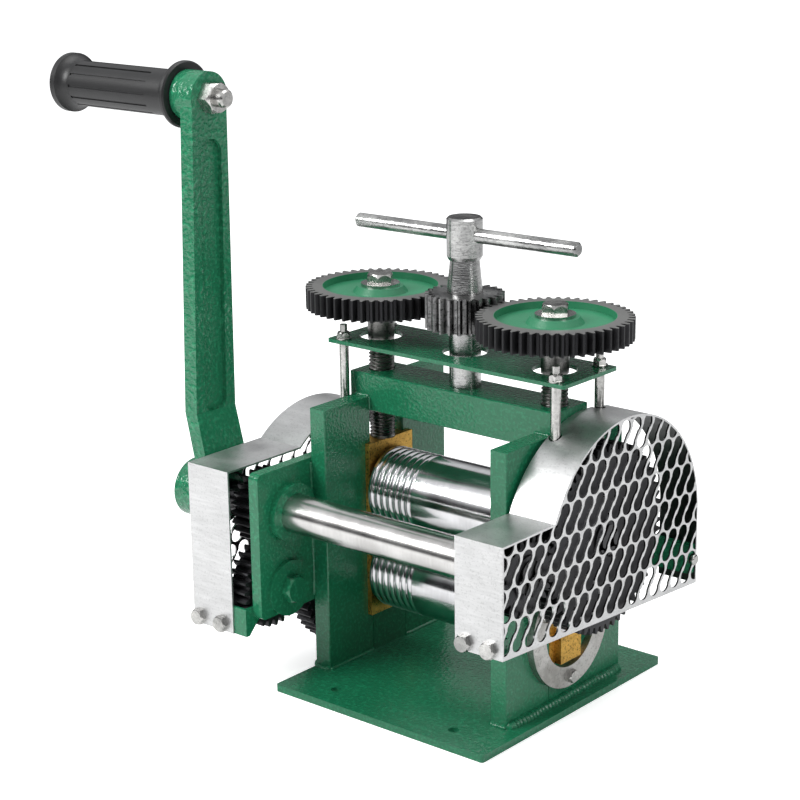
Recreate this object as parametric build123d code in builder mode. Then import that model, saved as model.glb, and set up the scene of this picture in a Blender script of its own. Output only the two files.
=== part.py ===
"""Jewellers' rolling mill: a welded steel stand with two hand-cranked rollers.

Millimetres. X runs along the rollers, with the crank at -X. Y runs from the
cranked front shaft (-Y) to the back, and Z is up. The origin lies on the
underside of the base, straight below the roller axes, midway between the two
pressure screws.
"""

from build123d import *
from collections import namedtuple
from math import acos, atan2, cos, degrees, hypot, pi, radians, sin, sqrt, tan
import os

os.makedirs("parts", exist_ok=True)

# --- Base plate ---
base_length = 175.0
base_depth = 197.0
base_thickness = 5.0
base_centre_x = 5.75
base_centre_y = -3.75
base_hole_d = 7.0
base_hole_spacing_x = 100.0
base_hole_spacing_y = 160.0
base_corner_r = 2.0

# --- Side frames: a front post, a rear post and a sill on each side ---
frame_inner_half = 68.5
post_thickness = 13.0
post_depth = 45.5
slot_width = 34.0
front_post_top = 188.0
rear_post_tops = (196.0, 188.0)
sill_top = 33.0
post_edge_chamfer = 0.6

# --- Top beam ---
beam_bottom = 178.0
beam_height = 25.5
beam_overhang = 3.5

# --- Rollers ---
roller_d = 55.0
roller_half_length = 63.0
lower_roller_z = 63.5
roller_gap = 3.5
roller_edge_chamfer = 0.8
journal_d = 25.0
gear_seat_d = 20.0
wire_groove_count = 7
wire_groove_pitch = 5.2
wire_groove_depth = 1.9
wire_groove_land = 0.9
wire_groove_start = 2.4

# --- Fits and clearances ---
running_clearance = 0.05
slide_clearance = 0.1
side_clearance = 0.2

# --- Brass bearing blocks ---
flange_width = 45.0
upper_block_rise = 34.0
upper_block_drop = 25.5
lower_block_rise = 25.5
block_tongue_width = 22.0
block_tongue_length = 5.0
lower_tongue_rise = 16.5
block_end_margin = 1.5
thrust_washer_thickness = 1.5
thrust_washer_d = 44.0

# --- Retaining rings on the outer faces of the side frames ---
ring_r = 41.0
ring_bore_r = 27.0
ring_thickness = 5.0
ring_centre_z = 56.0
ring_screw_r = 34.0
ring_screw_d = 5.0
ring_screw_depth = 10.0
ring_screw_af = 8.0
ring_screw_head = 3.5

# --- Gears ---
gear_module = 2.0
pressure_angle = radians(20.0)
dedendum_factor = 1.25
tooth_thinning = 0.16
pinion_teeth = 24
idler_teeth = 28
roller_gear_teeth = 60
screw_gear_teeth = 48
gear_width = 16.0
pinion_width = 18.0
left_gear_gap = 3.0
right_gear_gap = 4.2

# --- Front shaft ---
shaft_y = -84.0
shaft_z = 122.0
shaft_d = 26.0
shaft_seat_d = 22.0
crank_seat_d = 20.0
bush_wall = 3.0
key_width = 6.0
key_height = 6.0
key_length = 12.0
circlip_width = 1.2
circlip_depth = 0.8
circlip_rim = 3.0

# --- Shaft brackets ---
bracket_thickness = 8.0
bracket_front_y = -113.5
bracket_rear_y = -45.0
left_bracket_bottom = 53.5
left_bracket_top = 154.0
right_bracket_bottom = 89.0
right_bracket_top = 149.0
bracket_corner_r = 4.0
boss_r = 20.0
boss_length = 5.0

# --- Idler axle ---
idler_bolt_d = 10.0
idler_bolt_af = 17.0
idler_bolt_head = 6.4
idler_washer_d = 38.0
idler_washer_thickness = 3.0
idler_sleeve_d = 16.0
idler_sleeve_flange_d = 22.0
idler_end_washer_d = 24.0
idler_end_washer_thickness = 2.0
idler_nut_height = 8.0

# --- Sheet covers ---
sheet = 1.2
cover_inner_x = (100.5, 82.2)
cover_outer_x = (137.0, 118.4)
cover_front_y = (-121.5, -114.7)
cover_top_z = (154.8, 150.5)
cover_bottom_front_z = (42.5, 78.5)
cover_bottom_rear_z = (42.5, 64.4)
cover_arc_y = (-2.0, 14.0)
cover_arc_z = (95.0, 115.5)
cover_arc_r = (78.0, 84.5)
mesh_pitch_y = 12.3
mesh_pitch_z = 20.9
mesh_row_shift = 1.3
mesh_first_column = 6.0
mesh_first_row = 13.3
mesh_tip_d = 7.4
mesh_tip_y = 4.7
mesh_tip_z = 6.3
mesh_lobe_d = 9.8
mesh_lobe_y = 3.6
mesh_lobe_z = 5.4
mesh_waist_d = 8.0
mesh_rim = 1.3
shaft_opening_d = 30.0
stud_notch_d = 8.5
right_strip_skew = 7.2

# --- Lugs and screws that carry the covers ---
lug_height = 10.0
lug_end_margin = 3.0
left_lug_front_thickness = 3.2
left_lug_side_thickness = 2.4
left_lug_side_height = 19.0
left_lug_side_back = 14.0
left_lug_face_thickness = 2.0
left_lug_face_reach = 12.0
right_lug_thickness = 10.0
rear_strap_thickness = 5.0
rear_strap_height = 20.0
rear_strap_bottom = 72.0
rear_lug_thickness = 6.0
cover_bolt_d = 6.0
cover_bolt_af = 10.0
cover_bolt_head = 4.0
cover_bolt_depth = 8.0
cover_bolt_x = ((110.9, 131.7), (89.4, 108.3))
panel_screw_d = 4.0
panel_screw_head_d = 7.5
panel_screw_head = 2.4
panel_screw_depth = 8.0

# --- Pressure screws, their gears and the T handle ---
screw_half_spacing = 72.0
screw_thread_d = 17.5
screw_neck_d = 18.0
screw_undercut_d = 15.0
screw_thread_top = 222.5
screw_undercut_length = 2.0
screw_gear_seat_d = 14.0
screw_gear_bottom = 246.7
screw_gear_width = 14.6
screw_gear_recess_d = 77.0
screw_gear_recess_depth = 4.6
screw_gear_hub_d = 37.0
screw_gear_hub_top_d = 31.0
screw_gear_hub_drop = 0.6
spigot_d = 13.0
spigot_length = 12.0
spigot_groove_d = 10.0
spigot_groove_length = 3.2
spigot_groove_drop = 4.0
screw_pin_d = 3.0
top_bolt_d = 10.0
top_bolt_af = 16.0
top_bolt_head = 6.4
top_bolt_length = 18.0
top_washer_d = 26.0
top_washer_thickness = 2.0
spindle_d = 21.0
spindle_seat_depth = 15.0
spindle_head_d = 23.5
spindle_neck_d = 19.2
spindle_cone_d = 23.4
spindle_cone_bottom = 266.0
spindle_head_bottom = 289.0
spindle_top = 315.5
spindle_chamfer = 1.2
t_pinion_bottom = 243.0
t_bar_d = 9.5
t_bar_length = 174.0
t_bar_z = 304.0
t_bar_angle = 2.5
t_bar_chamfer = 1.2
lock_screw_d = 6.0
lock_groove_depth = 1.5

# --- Plate above the beam ---
top_plate_length = 194.6
top_plate_depth = 58.0
top_plate_centre_x = 2.5
top_plate_thickness = 2.5
top_plate_top = 226.5
top_plate_screw_hole_d = 29.0
top_plate_spindle_hole_d = 30.0
stud_d = 6.5
stud_thread_d = 5.0
stud_spacing_y = 47.0
stud_foot_z = 150.0
right_stud_offset = 8.3
right_stud_foot_width = 10.0
right_stud_foot_height = 15.0
stud_top_z = 236.5
stud_washer_d = 10.5
stud_washer_thickness = 1.0
stud_nut_af = 8.0
stud_nut_height = 4.0

# --- Crank ---
crank_throw = 267.0
crank_lean = 1.3
crank_hub_r = 20.0
crank_hub_inner_x = -140.0
crank_hub_length = 30.0
crank_arm_inner_x = -148.0
crank_arm_thickness = 11.0
crank_boss_r = 16.5
crank_boss_step = 0.5
crank_boss_length = 20.0
crank_bend_low = 28.0
crank_bend_high = 58.0
crank_pocket_width = 20.0
crank_pocket_depth = 3.5
crank_pocket_low = 56.0
crank_pocket_high = 240.0
crank_end_bolt_d = 10.0
crank_end_bolt_af = 17.0
crank_end_bolt_head = 6.4
crank_end_bolt_length = 22.0
crank_end_washer_d = 30.0
crank_end_washer_thickness = 2.5

# --- Grip ---
grip_length = 114.0
grip_body_r = 15.3
grip_end_r = 20.0
grip_inner_end_r = 22.0
grip_end_thickness = 6.0
grip_flare_length = 9.0
grip_bolt_d = 12.0
grip_bolt_af = 19.0
grip_bolt_head = 8.0
grip_counterbore_d = 23.0
grip_counterbore_depth = 11.0
grip_nut_height = 10.0
grip_thread_past_nut = 7.0
grip_gap = 0.5
grip_rib_count = 12
grip_rib_width = 1.6
grip_rib_height = 0.7
grip_rib_start = 15.0
grip_rib_length = 74.0

# --- Places worked out from the values above ---
frame_outer_x = frame_inner_half + post_thickness
post_centre_y = slot_width / 2 + post_depth / 2
beam_top = beam_bottom + beam_height
upper_roller_z = lower_roller_z + roller_d + roller_gap
bracket_outer_x = frame_outer_x + bracket_thickness
left_gear_x = bracket_outer_x + left_gear_gap
right_gear_x = cover_outer_x[1] - sheet - right_gear_gap - gear_width
right_pinion_x = right_gear_x + (gear_width - pinion_width) / 2
left_gear_far_x = left_gear_x + gear_width
upper_block_top = upper_roller_z + upper_block_rise
tongue_end_x = frame_outer_x + block_tongue_length
journal_end_x = tongue_end_x - block_end_margin
flange_inner_x = roller_half_length + 2 * side_clearance + thrust_washer_thickness
left_stud_x = -(frame_outer_x + stud_d / 2)
right_stud_x = frame_outer_x + right_stud_offset
crank_hub_far_x = crank_hub_inner_x - crank_hub_length
crank_arm_far_x = crank_arm_inner_x - crank_arm_thickness
crank_boss_far_x = crank_arm_inner_x - crank_boss_length
plate_bottom = top_plate_top - top_plate_thickness
stud_places = [
    (x, y) for x in (left_stud_x, right_stud_x) for y in (-stud_spacing_y / 2, stud_spacing_y / 2)
]


def pitch_radius(teeth):
    """Pitch radius of a spur gear."""
    return gear_module * teeth / 2


# The idler meshes with the front shaft's gear and with the lower roller's gear.
shaft_to_idler = pitch_radius(pinion_teeth) + pitch_radius(idler_teeth)
idler_to_roller = pitch_radius(idler_teeth) + pitch_radius(roller_gear_teeth)
roller_to_shaft = hypot(shaft_y, shaft_z - lower_roller_z)
roller_to_shaft_angle = atan2(shaft_z - lower_roller_z, shaft_y)
idler_angle = roller_to_shaft_angle + acos(
    (roller_to_shaft**2 + idler_to_roller**2 - shaft_to_idler**2)
    / (2 * roller_to_shaft * idler_to_roller)
)
idler_y = idler_to_roller * cos(idler_angle)
idler_z = lower_roller_z + idler_to_roller * sin(idler_angle)


def meshed_phase(teeth_a, phase_a, direction, teeth_b):
    """Turn of gear b that sets its gap on gear a's tooth; b lies at direction from a."""
    share = (direction - phase_a) / (360 / teeth_a)
    return direction + 180 - (0.5 - share) * 360 / teeth_b


shaft_to_idler_angle = degrees(atan2(idler_z - shaft_z, idler_y - shaft_y))
idler_to_roller_angle = degrees(atan2(lower_roller_z - idler_z, -idler_y))
left_drive_phase = 0.0
idler_phase = meshed_phase(pinion_teeth, left_drive_phase, shaft_to_idler_angle, idler_teeth)
lower_gear_phase = meshed_phase(
    idler_teeth, idler_phase, idler_to_roller_angle, roller_gear_teeth
)
upper_gear_phase = meshed_phase(pinion_teeth, 0.0, 0.0, roller_gear_teeth)
screw_gear_phase = meshed_phase(pinion_teeth, 0.0, 0.0, screw_gear_teeth)


def gear_outline(teeth):
    """Sketch of a spur gear with involute flanks and a tooth centred on local X."""
    pitch_r = pitch_radius(teeth)
    base_r = pitch_r * cos(pressure_angle)
    root_r = pitch_r - dedendum_factor * gear_module
    tip_r = pitch_r + gear_module
    flank_start = max(base_r, root_r + gear_module / 10)
    half_tooth = (pi * gear_module / 2 - tooth_thinning) / (2 * pitch_r)
    half_tooth += tan(pressure_angle) - pressure_angle
    flank = []
    for r in (root_r, flank_start, (flank_start + pitch_r) / 2, pitch_r, tip_r):
        roll = acos(min(1.0, base_r / r))
        flank.append((r, half_tooth - (tan(roll) - roll)))
    points = []
    for tooth in range(teeth):
        middle = 2 * pi * tooth / teeth
        for r, half in flank:
            points.append((r * cos(middle - half), r * sin(middle - half)))
        for r, half in reversed(flank):
            points.append((r * cos(middle + half), r * sin(middle + half)))
    with BuildSketch() as outline:
        with BuildLine():
            Polyline(*points, close=True)
        make_face()
    return outline.sketch


def hex_bolt(shank_d, shank_length, across_flats, head_height):
    """Hex bolt: the head stands on +Z of its seat at the origin, the shank on -Z."""
    with BuildPart() as bolt:
        with BuildSketch():
            RegularPolygon(across_flats / 2, 6, major_radius=False)
        extrude(amount=head_height)
        with BuildSketch(Plane.XY.offset(head_height)):
            Circle(across_flats / 2 * 0.97)
        extrude(amount=-head_height, taper=-30, mode=Mode.INTERSECT)
        with BuildSketch():
            Circle(shank_d / 2)
        extrude(amount=-shank_length)
        chamfer(bolt.faces().sort_by(Axis.Z)[0].edges(), shank_d / 10)
    return bolt.part


def hex_nut(bore_d, across_flats, height):
    """Hex nut standing on the origin along +Z, with both faces' corners eased."""
    with BuildPart() as nut:
        with BuildSketch():
            RegularPolygon(across_flats / 2, 6, major_radius=False)
        extrude(amount=height)
        with BuildSketch(Plane.XY.offset(height)):
            Circle(across_flats / 2 * 0.97)
        extrude(amount=-height, taper=-30, mode=Mode.INTERSECT)
        with BuildSketch():
            Circle(bore_d / 2)
        extrude(amount=height, mode=Mode.SUBTRACT)
    return nut.part


def washer(outer_d, bore_d, thickness):
    """Flat washer standing on the origin along +Z."""
    with BuildPart() as ring:
        with BuildSketch():
            Circle(outer_d / 2)
            Circle(bore_d / 2, mode=Mode.SUBTRACT)
        extrude(amount=thickness)
    return ring.part


def write(node, name):
    """Label a finished piece and write it as its own node."""
    node.label = name
    export_step(node, f"parts/{name}.step")


def write_group(name, *pieces):
    """Write fasteners that touch each other as separate solids of one node."""
    write(Compound(children=list(pieces)), name)


def facing(direction_x, x, y, z):
    """Plane at a point whose normal runs along +X or -X and whose local Y is up."""
    return Plane((x, y, z), x_dir=(0, direction_x, 0), z_dir=(direction_x, 0, 0))


def facing_front(x, y, z):
    """Plane at a point whose normal runs along -Y, with local X along +X."""
    return Plane((x, y, z), x_dir=(1, 0, 0), z_dir=(0, -1, 0))


# --- Base ---
with BuildPart() as base_plate:
    with BuildSketch():
        with Locations((base_centre_x, base_centre_y)):
            RectangleRounded(base_length, base_depth, base_corner_r)
            with GridLocations(base_hole_spacing_x, base_hole_spacing_y, 2, 2):
                Circle(base_hole_d / 2, mode=Mode.SUBTRACT)
    extrude(amount=base_thickness)
write(base_plate.part, "base_plate")

# --- Side frames: both posts of a side stand on the base, with a sill between them ---
ring_screw_angles = (-90.0, 30.0, 150.0)
for side, prefix, rear_post_top in zip((-1, 1), ("left", "right"), rear_post_tops):
    middle_x = side * (frame_inner_half + post_thickness / 2)
    ring_plane = facing(side, side * frame_outer_x, 0, ring_centre_z)
    for end, post_top, name in (
        (-1, front_post_top, "front_post"),
        (1, rear_post_top, "rear_post"),
    ):
        with BuildPart() as post:
            with BuildSketch(Plane.XY.offset(base_thickness)):
                with Locations((middle_x, end * post_centre_y)):
                    Rectangle(post_thickness, post_depth)
            extrude(amount=post_top - base_thickness)
            chamfer(post.edges().filter_by(Axis.Z), post_edge_chamfer)
            with BuildSketch(ring_plane):
                with PolarLocations(ring_screw_r, 3, start_angle=ring_screw_angles[0]):
                    Circle(ring_screw_d / 2)
            extrude(amount=-ring_screw_depth, mode=Mode.SUBTRACT)
        write(post.part, f"{prefix}_{name}")

with BuildPart() as sills:
    for side in (-1, 1):
        with BuildSketch(Plane.XY.offset(base_thickness)):
            with Locations((side * (frame_inner_half + post_thickness / 2), 0)):
                Rectangle(post_thickness, slot_width)
        extrude(amount=sill_top - base_thickness)
        with BuildSketch(facing(side, side * frame_outer_x, 0, ring_centre_z)):
            with Locations((0, -ring_screw_r)):
                Circle(ring_screw_d / 2)
        extrude(amount=-ring_screw_depth, mode=Mode.SUBTRACT)
write(sills.part, "sills")

# --- Top beam, with the two screw bores and the T spindle's blind seat ---
lock_screw_z = beam_top - spindle_seat_depth / 2
with BuildPart() as top_beam:
    with BuildSketch(Plane.XY.offset(beam_bottom)):
        Rectangle(2 * (frame_outer_x + beam_overhang), slot_width)
    extrude(amount=beam_height)
    chamfer(top_beam.edges().filter_by(Axis.X), post_edge_chamfer)
    with BuildSketch(Plane.XY.offset(beam_bottom)):
        with Locations((-screw_half_spacing, 0), (screw_half_spacing, 0)):
            Circle(screw_thread_d / 2 + running_clearance)
    extrude(amount=beam_height, mode=Mode.SUBTRACT)
    with BuildSketch(Plane.XY.offset(beam_top)):
        Circle(spindle_d / 2 + running_clearance)
    extrude(amount=-spindle_seat_depth, mode=Mode.SUBTRACT)
    with BuildSketch(facing_front(0, slot_width / 2, lock_screw_z)):
        Circle(lock_screw_d / 2)
    extrude(amount=slot_width / 2, mode=Mode.SUBTRACT)
write(top_beam.part, "top_beam")

with BuildPart() as spindle_lock_screw:
    with BuildSketch(facing_front(0, slot_width / 2, lock_screw_z)):
        Circle(lock_screw_d / 2)
    extrude(amount=slot_width / 2 - spindle_d / 2 + lock_groove_depth / 2)
    with BuildSketch(facing_front(0, slot_width / 2, lock_screw_z)):
        RegularPolygon(lock_screw_d / 4, 6, major_radius=False)
    extrude(amount=lock_screw_d / 3, mode=Mode.SUBTRACT)
write(spindle_lock_screw.part, "spindle_lock_screw")

# --- Brackets for the front shaft, lapped and welded on the front posts ---
for side, prefix, low, high in (
    (-1, "left", left_bracket_bottom, left_bracket_top),
    (1, "right", right_bracket_bottom, right_bracket_top),
):
    depth = bracket_rear_y - bracket_front_y
    with BuildPart() as bracket:
        with BuildSketch(Plane.YZ.offset(side * frame_outer_x)):
            with Locations(((bracket_front_y + bracket_rear_y) / 2, (low + high) / 2)):
                Rectangle(depth, high - low)
        extrude(amount=side * bracket_thickness)
        fillet(
            bracket.edges().filter_by(Axis.X).group_by(Axis.Y)[0],
            bracket_corner_r,
        )
        with BuildSketch(Plane.YZ.offset(side * frame_outer_x)):
            with Locations((shaft_y, shaft_z)):
                Circle(boss_r)
        extrude(amount=-side * boss_length)
        with BuildSketch(Plane.YZ.offset(side * (frame_outer_x - boss_length))):
            with Locations((shaft_y, shaft_z)):
                Circle(shaft_d / 2 + bush_wall)
        extrude(amount=side * (boss_length + bracket_thickness), mode=Mode.SUBTRACT)
        if side < 0:
            with BuildSketch(Plane.YZ.offset(-frame_outer_x)):
                with Locations((idler_y, idler_z)):
                    Circle(idler_bolt_d / 2)
            extrude(amount=-bracket_thickness, mode=Mode.SUBTRACT)
    write(bracket.part, f"{prefix}_bracket")

with BuildPart() as shaft_bushes:
    for side in (-1, 1):
        with BuildSketch(Plane.YZ.offset(side * (frame_outer_x - boss_length))):
            with Locations((shaft_y, shaft_z)):
                Circle(shaft_d / 2 + bush_wall)
                Circle(shaft_d / 2 + running_clearance, mode=Mode.SUBTRACT)
        extrude(amount=side * (boss_length + bracket_thickness))
write(shaft_bushes.part, "shaft_bushes")

# --- Bearing blocks: lower ones stand on the sills, upper ones slide in the slots ---
block_width = slot_width - 2 * slide_clearance
lower_block_top = lower_roller_z + lower_block_rise
upper_block_bottom = upper_roller_z - upper_block_drop
pin_offset = spigot_groove_d / 2 + screw_pin_d / 2 + slide_clearance
pin_z = upper_block_top - spigot_groove_drop - spigot_groove_length / 2
for side, prefix in ((-1, "left"), (1, "right")):
    flange_plane = Plane.YZ.offset(side * flange_inner_x)
    flange_length = side * (frame_inner_half - slide_clearance - flange_inner_x)
    body_length = side * (frame_outer_x - flange_inner_x)
    with BuildPart() as lower_block:
        with BuildSketch(flange_plane):
            with Locations((0, (sill_top + lower_block_top) / 2)):
                Rectangle(flange_width, lower_block_top - sill_top)
        extrude(amount=flange_length)
        with BuildSketch(flange_plane):
            with Locations((0, (sill_top + lower_block_top) / 2)):
                Rectangle(block_width, lower_block_top - sill_top)
        extrude(amount=body_length)
        with BuildSketch(Plane.YZ.offset(side * frame_outer_x)):
            with Locations((0, (sill_top + lower_roller_z + lower_tongue_rise) / 2)):
                Rectangle(block_tongue_width, lower_roller_z + lower_tongue_rise - sill_top)
        extrude(amount=side * block_tongue_length)
        with BuildSketch(flange_plane):
            with Locations((0, lower_roller_z)):
                Circle(journal_d / 2 + running_clearance)
        extrude(amount=side * (tongue_end_x - flange_inner_x), mode=Mode.SUBTRACT)
    write(lower_block.part, f"{prefix}_lower_block")

    with BuildPart() as upper_block:
        with BuildSketch(flange_plane):
            with Locations((0, (upper_block_bottom + upper_block_top) / 2)):
                Rectangle(flange_width, upper_block_top - upper_block_bottom)
        extrude(amount=flange_length)
        with BuildSketch(flange_plane):
            with Locations((0, (upper_block_bottom + upper_block_top) / 2)):
                Rectangle(block_width, upper_block_top - upper_block_bottom)
        extrude(amount=body_length)
        with BuildSketch(flange_plane):
            with Locations((0, upper_roller_z)):
                Circle(journal_d / 2 + running_clearance)
        extrude(amount=body_length, mode=Mode.SUBTRACT)
        with BuildSketch(Plane.XY.offset(upper_block_top)):
            with Locations((side * screw_half_spacing, 0)):
                Circle(spigot_d / 2 + running_clearance)
        extrude(amount=-spigot_length - slide_clearance, mode=Mode.SUBTRACT)
        with BuildSketch(Plane.XZ):
            with Locations((side * (screw_half_spacing + pin_offset), pin_z)):
                Circle(screw_pin_d / 2)
        extrude(amount=slot_width / 2, both=True, mode=Mode.SUBTRACT)
    write(upper_block.part, f"{prefix}_upper_block")

with BuildPart() as screw_pins:
    for side in (-1, 1):
        with BuildSketch(Plane.XZ):
            with Locations((side * (screw_half_spacing + pin_offset), pin_z)):
                Circle(screw_pin_d / 2)
        extrude(amount=block_width / 2, both=True)
write(screw_pins.part, "screw_pins")

# --- Retaining rings, which keep the lower blocks in, and their screws ---
with BuildPart() as retaining_rings:
    for side in (-1, 1):
        with BuildSketch(facing(side, side * frame_outer_x, 0, ring_centre_z)):
            Circle(ring_r)
            Circle(ring_bore_r, mode=Mode.SUBTRACT)
            with PolarLocations(ring_screw_r, 3, start_angle=ring_screw_angles[0]):
                Circle(ring_screw_d / 2, mode=Mode.SUBTRACT)
        extrude(amount=ring_thickness)
write(retaining_rings.part, "retaining_rings")

ring_screw = hex_bolt(
    ring_screw_d, ring_thickness + ring_screw_depth, ring_screw_af, ring_screw_head
)
with BuildPart() as ring_screws:
    for side in (-1, 1):
        face_x = side * (frame_outer_x + ring_thickness)
        for angle in ring_screw_angles:
            y = side * ring_screw_r * cos(radians(angle))
            z = ring_centre_z + ring_screw_r * sin(radians(angle))
            add(facing(side, face_x, y, z) * ring_screw)
write(ring_screws.part, "ring_screws")

# --- Rollers: a plain body with wire grooves towards the left end, and two journals ---


def key_cutter(x, y, z, seat_d, height_below):
    """Box in a keyway along X, let into the seat by height_below."""
    return Pos(x, y, z + seat_d / 2 - height_below + key_height / 2) * Box(
        key_length, key_width, key_height
    )


key_sink = key_height / 2
lower_key_x = -(left_gear_x + gear_width / 2)
upper_key_x = right_gear_x + gear_width / 2
left_drive_key_x = -(left_gear_x + pinion_width / 2)
right_drive_key_x = right_pinion_x + pinion_width / 2
crank_key_x = crank_hub_inner_x - crank_hub_length / 2
lower_key = key_cutter(lower_key_x, 0, lower_roller_z, gear_seat_d, key_sink)
upper_key = key_cutter(upper_key_x, 0, upper_roller_z, gear_seat_d, key_sink)
left_drive_key = key_cutter(left_drive_key_x, shaft_y, shaft_z, shaft_seat_d, key_sink)
right_drive_key = key_cutter(right_drive_key_x, shaft_y, shaft_z, shaft_seat_d, key_sink)
crank_key = key_cutter(crank_key_x, shaft_y, shaft_z, crank_seat_d, key_sink)


def roller(gear_side, gear_x, axis_z, key):
    """Roller along X with its gear seat on one side; the wire grooves are at -X."""
    body_r = roller_d / 2
    seat_start = gear_side * gear_x
    clip_start = seat_start + gear_side * (gear_width + slide_clearance)
    seat_end = clip_start + gear_side * (circlip_width + circlip_depth)
    with BuildPart() as body:
        with BuildSketch(Plane.YZ.offset(-roller_half_length)):
            with Locations((0, axis_z)):
                Circle(body_r)
        extrude(amount=2 * roller_half_length)
        chamfer(body.edges().filter_by(GeomType.CIRCLE), roller_edge_chamfer)
        with BuildSketch(Plane.YZ.offset(-gear_side * journal_end_x)):
            with Locations((0, axis_z)):
                Circle(journal_d / 2)
        extrude(amount=gear_side * (journal_end_x + gear_x))
        with BuildSketch(Plane.YZ.offset(seat_start)):
            with Locations((0, axis_z)):
                Circle(gear_seat_d / 2)
        extrude(amount=seat_end - seat_start)
        with BuildSketch(Plane.XZ):
            rim_z = axis_z + body_r
            for index in range(wire_groove_count):
                left = -roller_half_length + wire_groove_start + index * wire_groove_pitch
                right = left + wire_groove_pitch - wire_groove_land
                with BuildLine():
                    ThreePointArc(
                        (left, rim_z),
                        ((left + right) / 2, rim_z - wire_groove_depth),
                        (right, rim_z),
                    )
                    Polyline(
                        (right, rim_z),
                        (right, rim_z + wire_groove_depth),
                        (left, rim_z + wire_groove_depth),
                        (left, rim_z),
                    )
                make_face()
        revolve(axis=Axis((0, 0, axis_z), (1, 0, 0)), mode=Mode.SUBTRACT)
        with BuildSketch(Plane.YZ.offset(clip_start)):
            with Locations((0, axis_z)):
                Circle(gear_seat_d / 2)
                Circle(gear_seat_d / 2 - circlip_depth, mode=Mode.SUBTRACT)
        extrude(amount=gear_side * circlip_width, mode=Mode.SUBTRACT)
        add(key, mode=Mode.SUBTRACT)
    return body.part


lower_roller = roller(-1, left_gear_x, lower_roller_z, lower_key)
write(lower_roller, "lower_roller")
upper_roller = roller(1, right_gear_x, upper_roller_z, upper_key)
write(upper_roller, "upper_roller")

for name, axis_z in (
    ("lower_thrust_washers", lower_roller_z),
    ("upper_thrust_washers", upper_roller_z),
):
    with BuildPart() as thrust_washers:
        for side in (-1, 1):
            with BuildSketch(Plane.YZ.offset(side * (roller_half_length + side_clearance))):
                with Locations((0, axis_z)):
                    Circle(thrust_washer_d / 2)
                    Circle(journal_d / 2 + running_clearance, mode=Mode.SUBTRACT)
            extrude(amount=side * thrust_washer_thickness)
    write(thrust_washers.part, name)

# --- Driving gears: each with its bore and keyway ---


def driving_gear(teeth, phase, x, y, z, width, bore_d, key):
    """Spur gear on an axis along X, from x over width (signed)."""
    with BuildPart() as gear:
        with BuildSketch(Plane.YZ.offset(x)):
            with Locations((y, z)):
                add(gear_outline(teeth), rotation=phase)
                Circle(bore_d / 2, mode=Mode.SUBTRACT)
        extrude(amount=width)
        if key is not None:
            add(key, mode=Mode.SUBTRACT)
    return gear.part


left_drive_gear = driving_gear(
    pinion_teeth,
    left_drive_phase,
    -left_gear_x,
    shaft_y,
    shaft_z,
    -pinion_width,
    shaft_seat_d,
    left_drive_key,
)
write(left_drive_gear, "left_drive_gear")
right_drive_pinion = driving_gear(
    pinion_teeth,
    0.0,
    right_pinion_x,
    shaft_y,
    shaft_z,
    pinion_width,
    shaft_seat_d,
    right_drive_key,
)
write(right_drive_pinion, "right_drive_pinion")
idler_gear = driving_gear(
    idler_teeth,
    idler_phase,
    -left_gear_x,
    idler_y,
    idler_z,
    -gear_width,
    idler_sleeve_d + 2 * running_clearance,
    None,
)
write(idler_gear, "idler_gear")
lower_roller_gear = driving_gear(
    roller_gear_teeth,
    lower_gear_phase,
    -left_gear_x,
    0,
    lower_roller_z,
    -gear_width,
    gear_seat_d,
    lower_key,
)
write(lower_roller_gear, "lower_roller_gear")
upper_roller_gear = driving_gear(
    roller_gear_teeth,
    upper_gear_phase,
    right_gear_x,
    0,
    upper_roller_z,
    gear_width,
    gear_seat_d,
    upper_key,
)
write(upper_roller_gear, "upper_roller_gear")


def circlip(x, y, z, seat_d, direction_x):
    """Retaining ring in its groove, from x along direction_x."""
    with BuildPart() as clip:
        with BuildSketch(Plane.YZ.offset(x)):
            with Locations((y, z)):
                Circle(seat_d / 2 + circlip_rim)
                Circle(seat_d / 2 - circlip_depth, mode=Mode.SUBTRACT)
                with Locations((0, -seat_d / 2)):
                    Rectangle(key_width, 2 * circlip_rim + 2, mode=Mode.SUBTRACT)
        extrude(amount=direction_x * circlip_width)
    return clip.part


lower_gear_clip_x = -(left_gear_far_x + slide_clearance)
upper_gear_clip_x = right_gear_x + gear_width + slide_clearance
left_drive_clip_x = -(left_gear_x + pinion_width + slide_clearance)
right_drive_clip_x = right_pinion_x + pinion_width + slide_clearance
lower_clip = circlip(lower_gear_clip_x, 0, lower_roller_z, gear_seat_d, -1)
with BuildPart() as lower_gear_fasteners:
    add(lower_key)
    add(lower_clip)
write(lower_gear_fasteners.part, "lower_gear_key_and_clip")
upper_clip = circlip(upper_gear_clip_x, 0, upper_roller_z, gear_seat_d, 1)
with BuildPart() as upper_gear_fasteners:
    add(upper_key)
    add(upper_clip)
write(upper_gear_fasteners.part, "upper_gear_key_and_clip")

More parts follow.
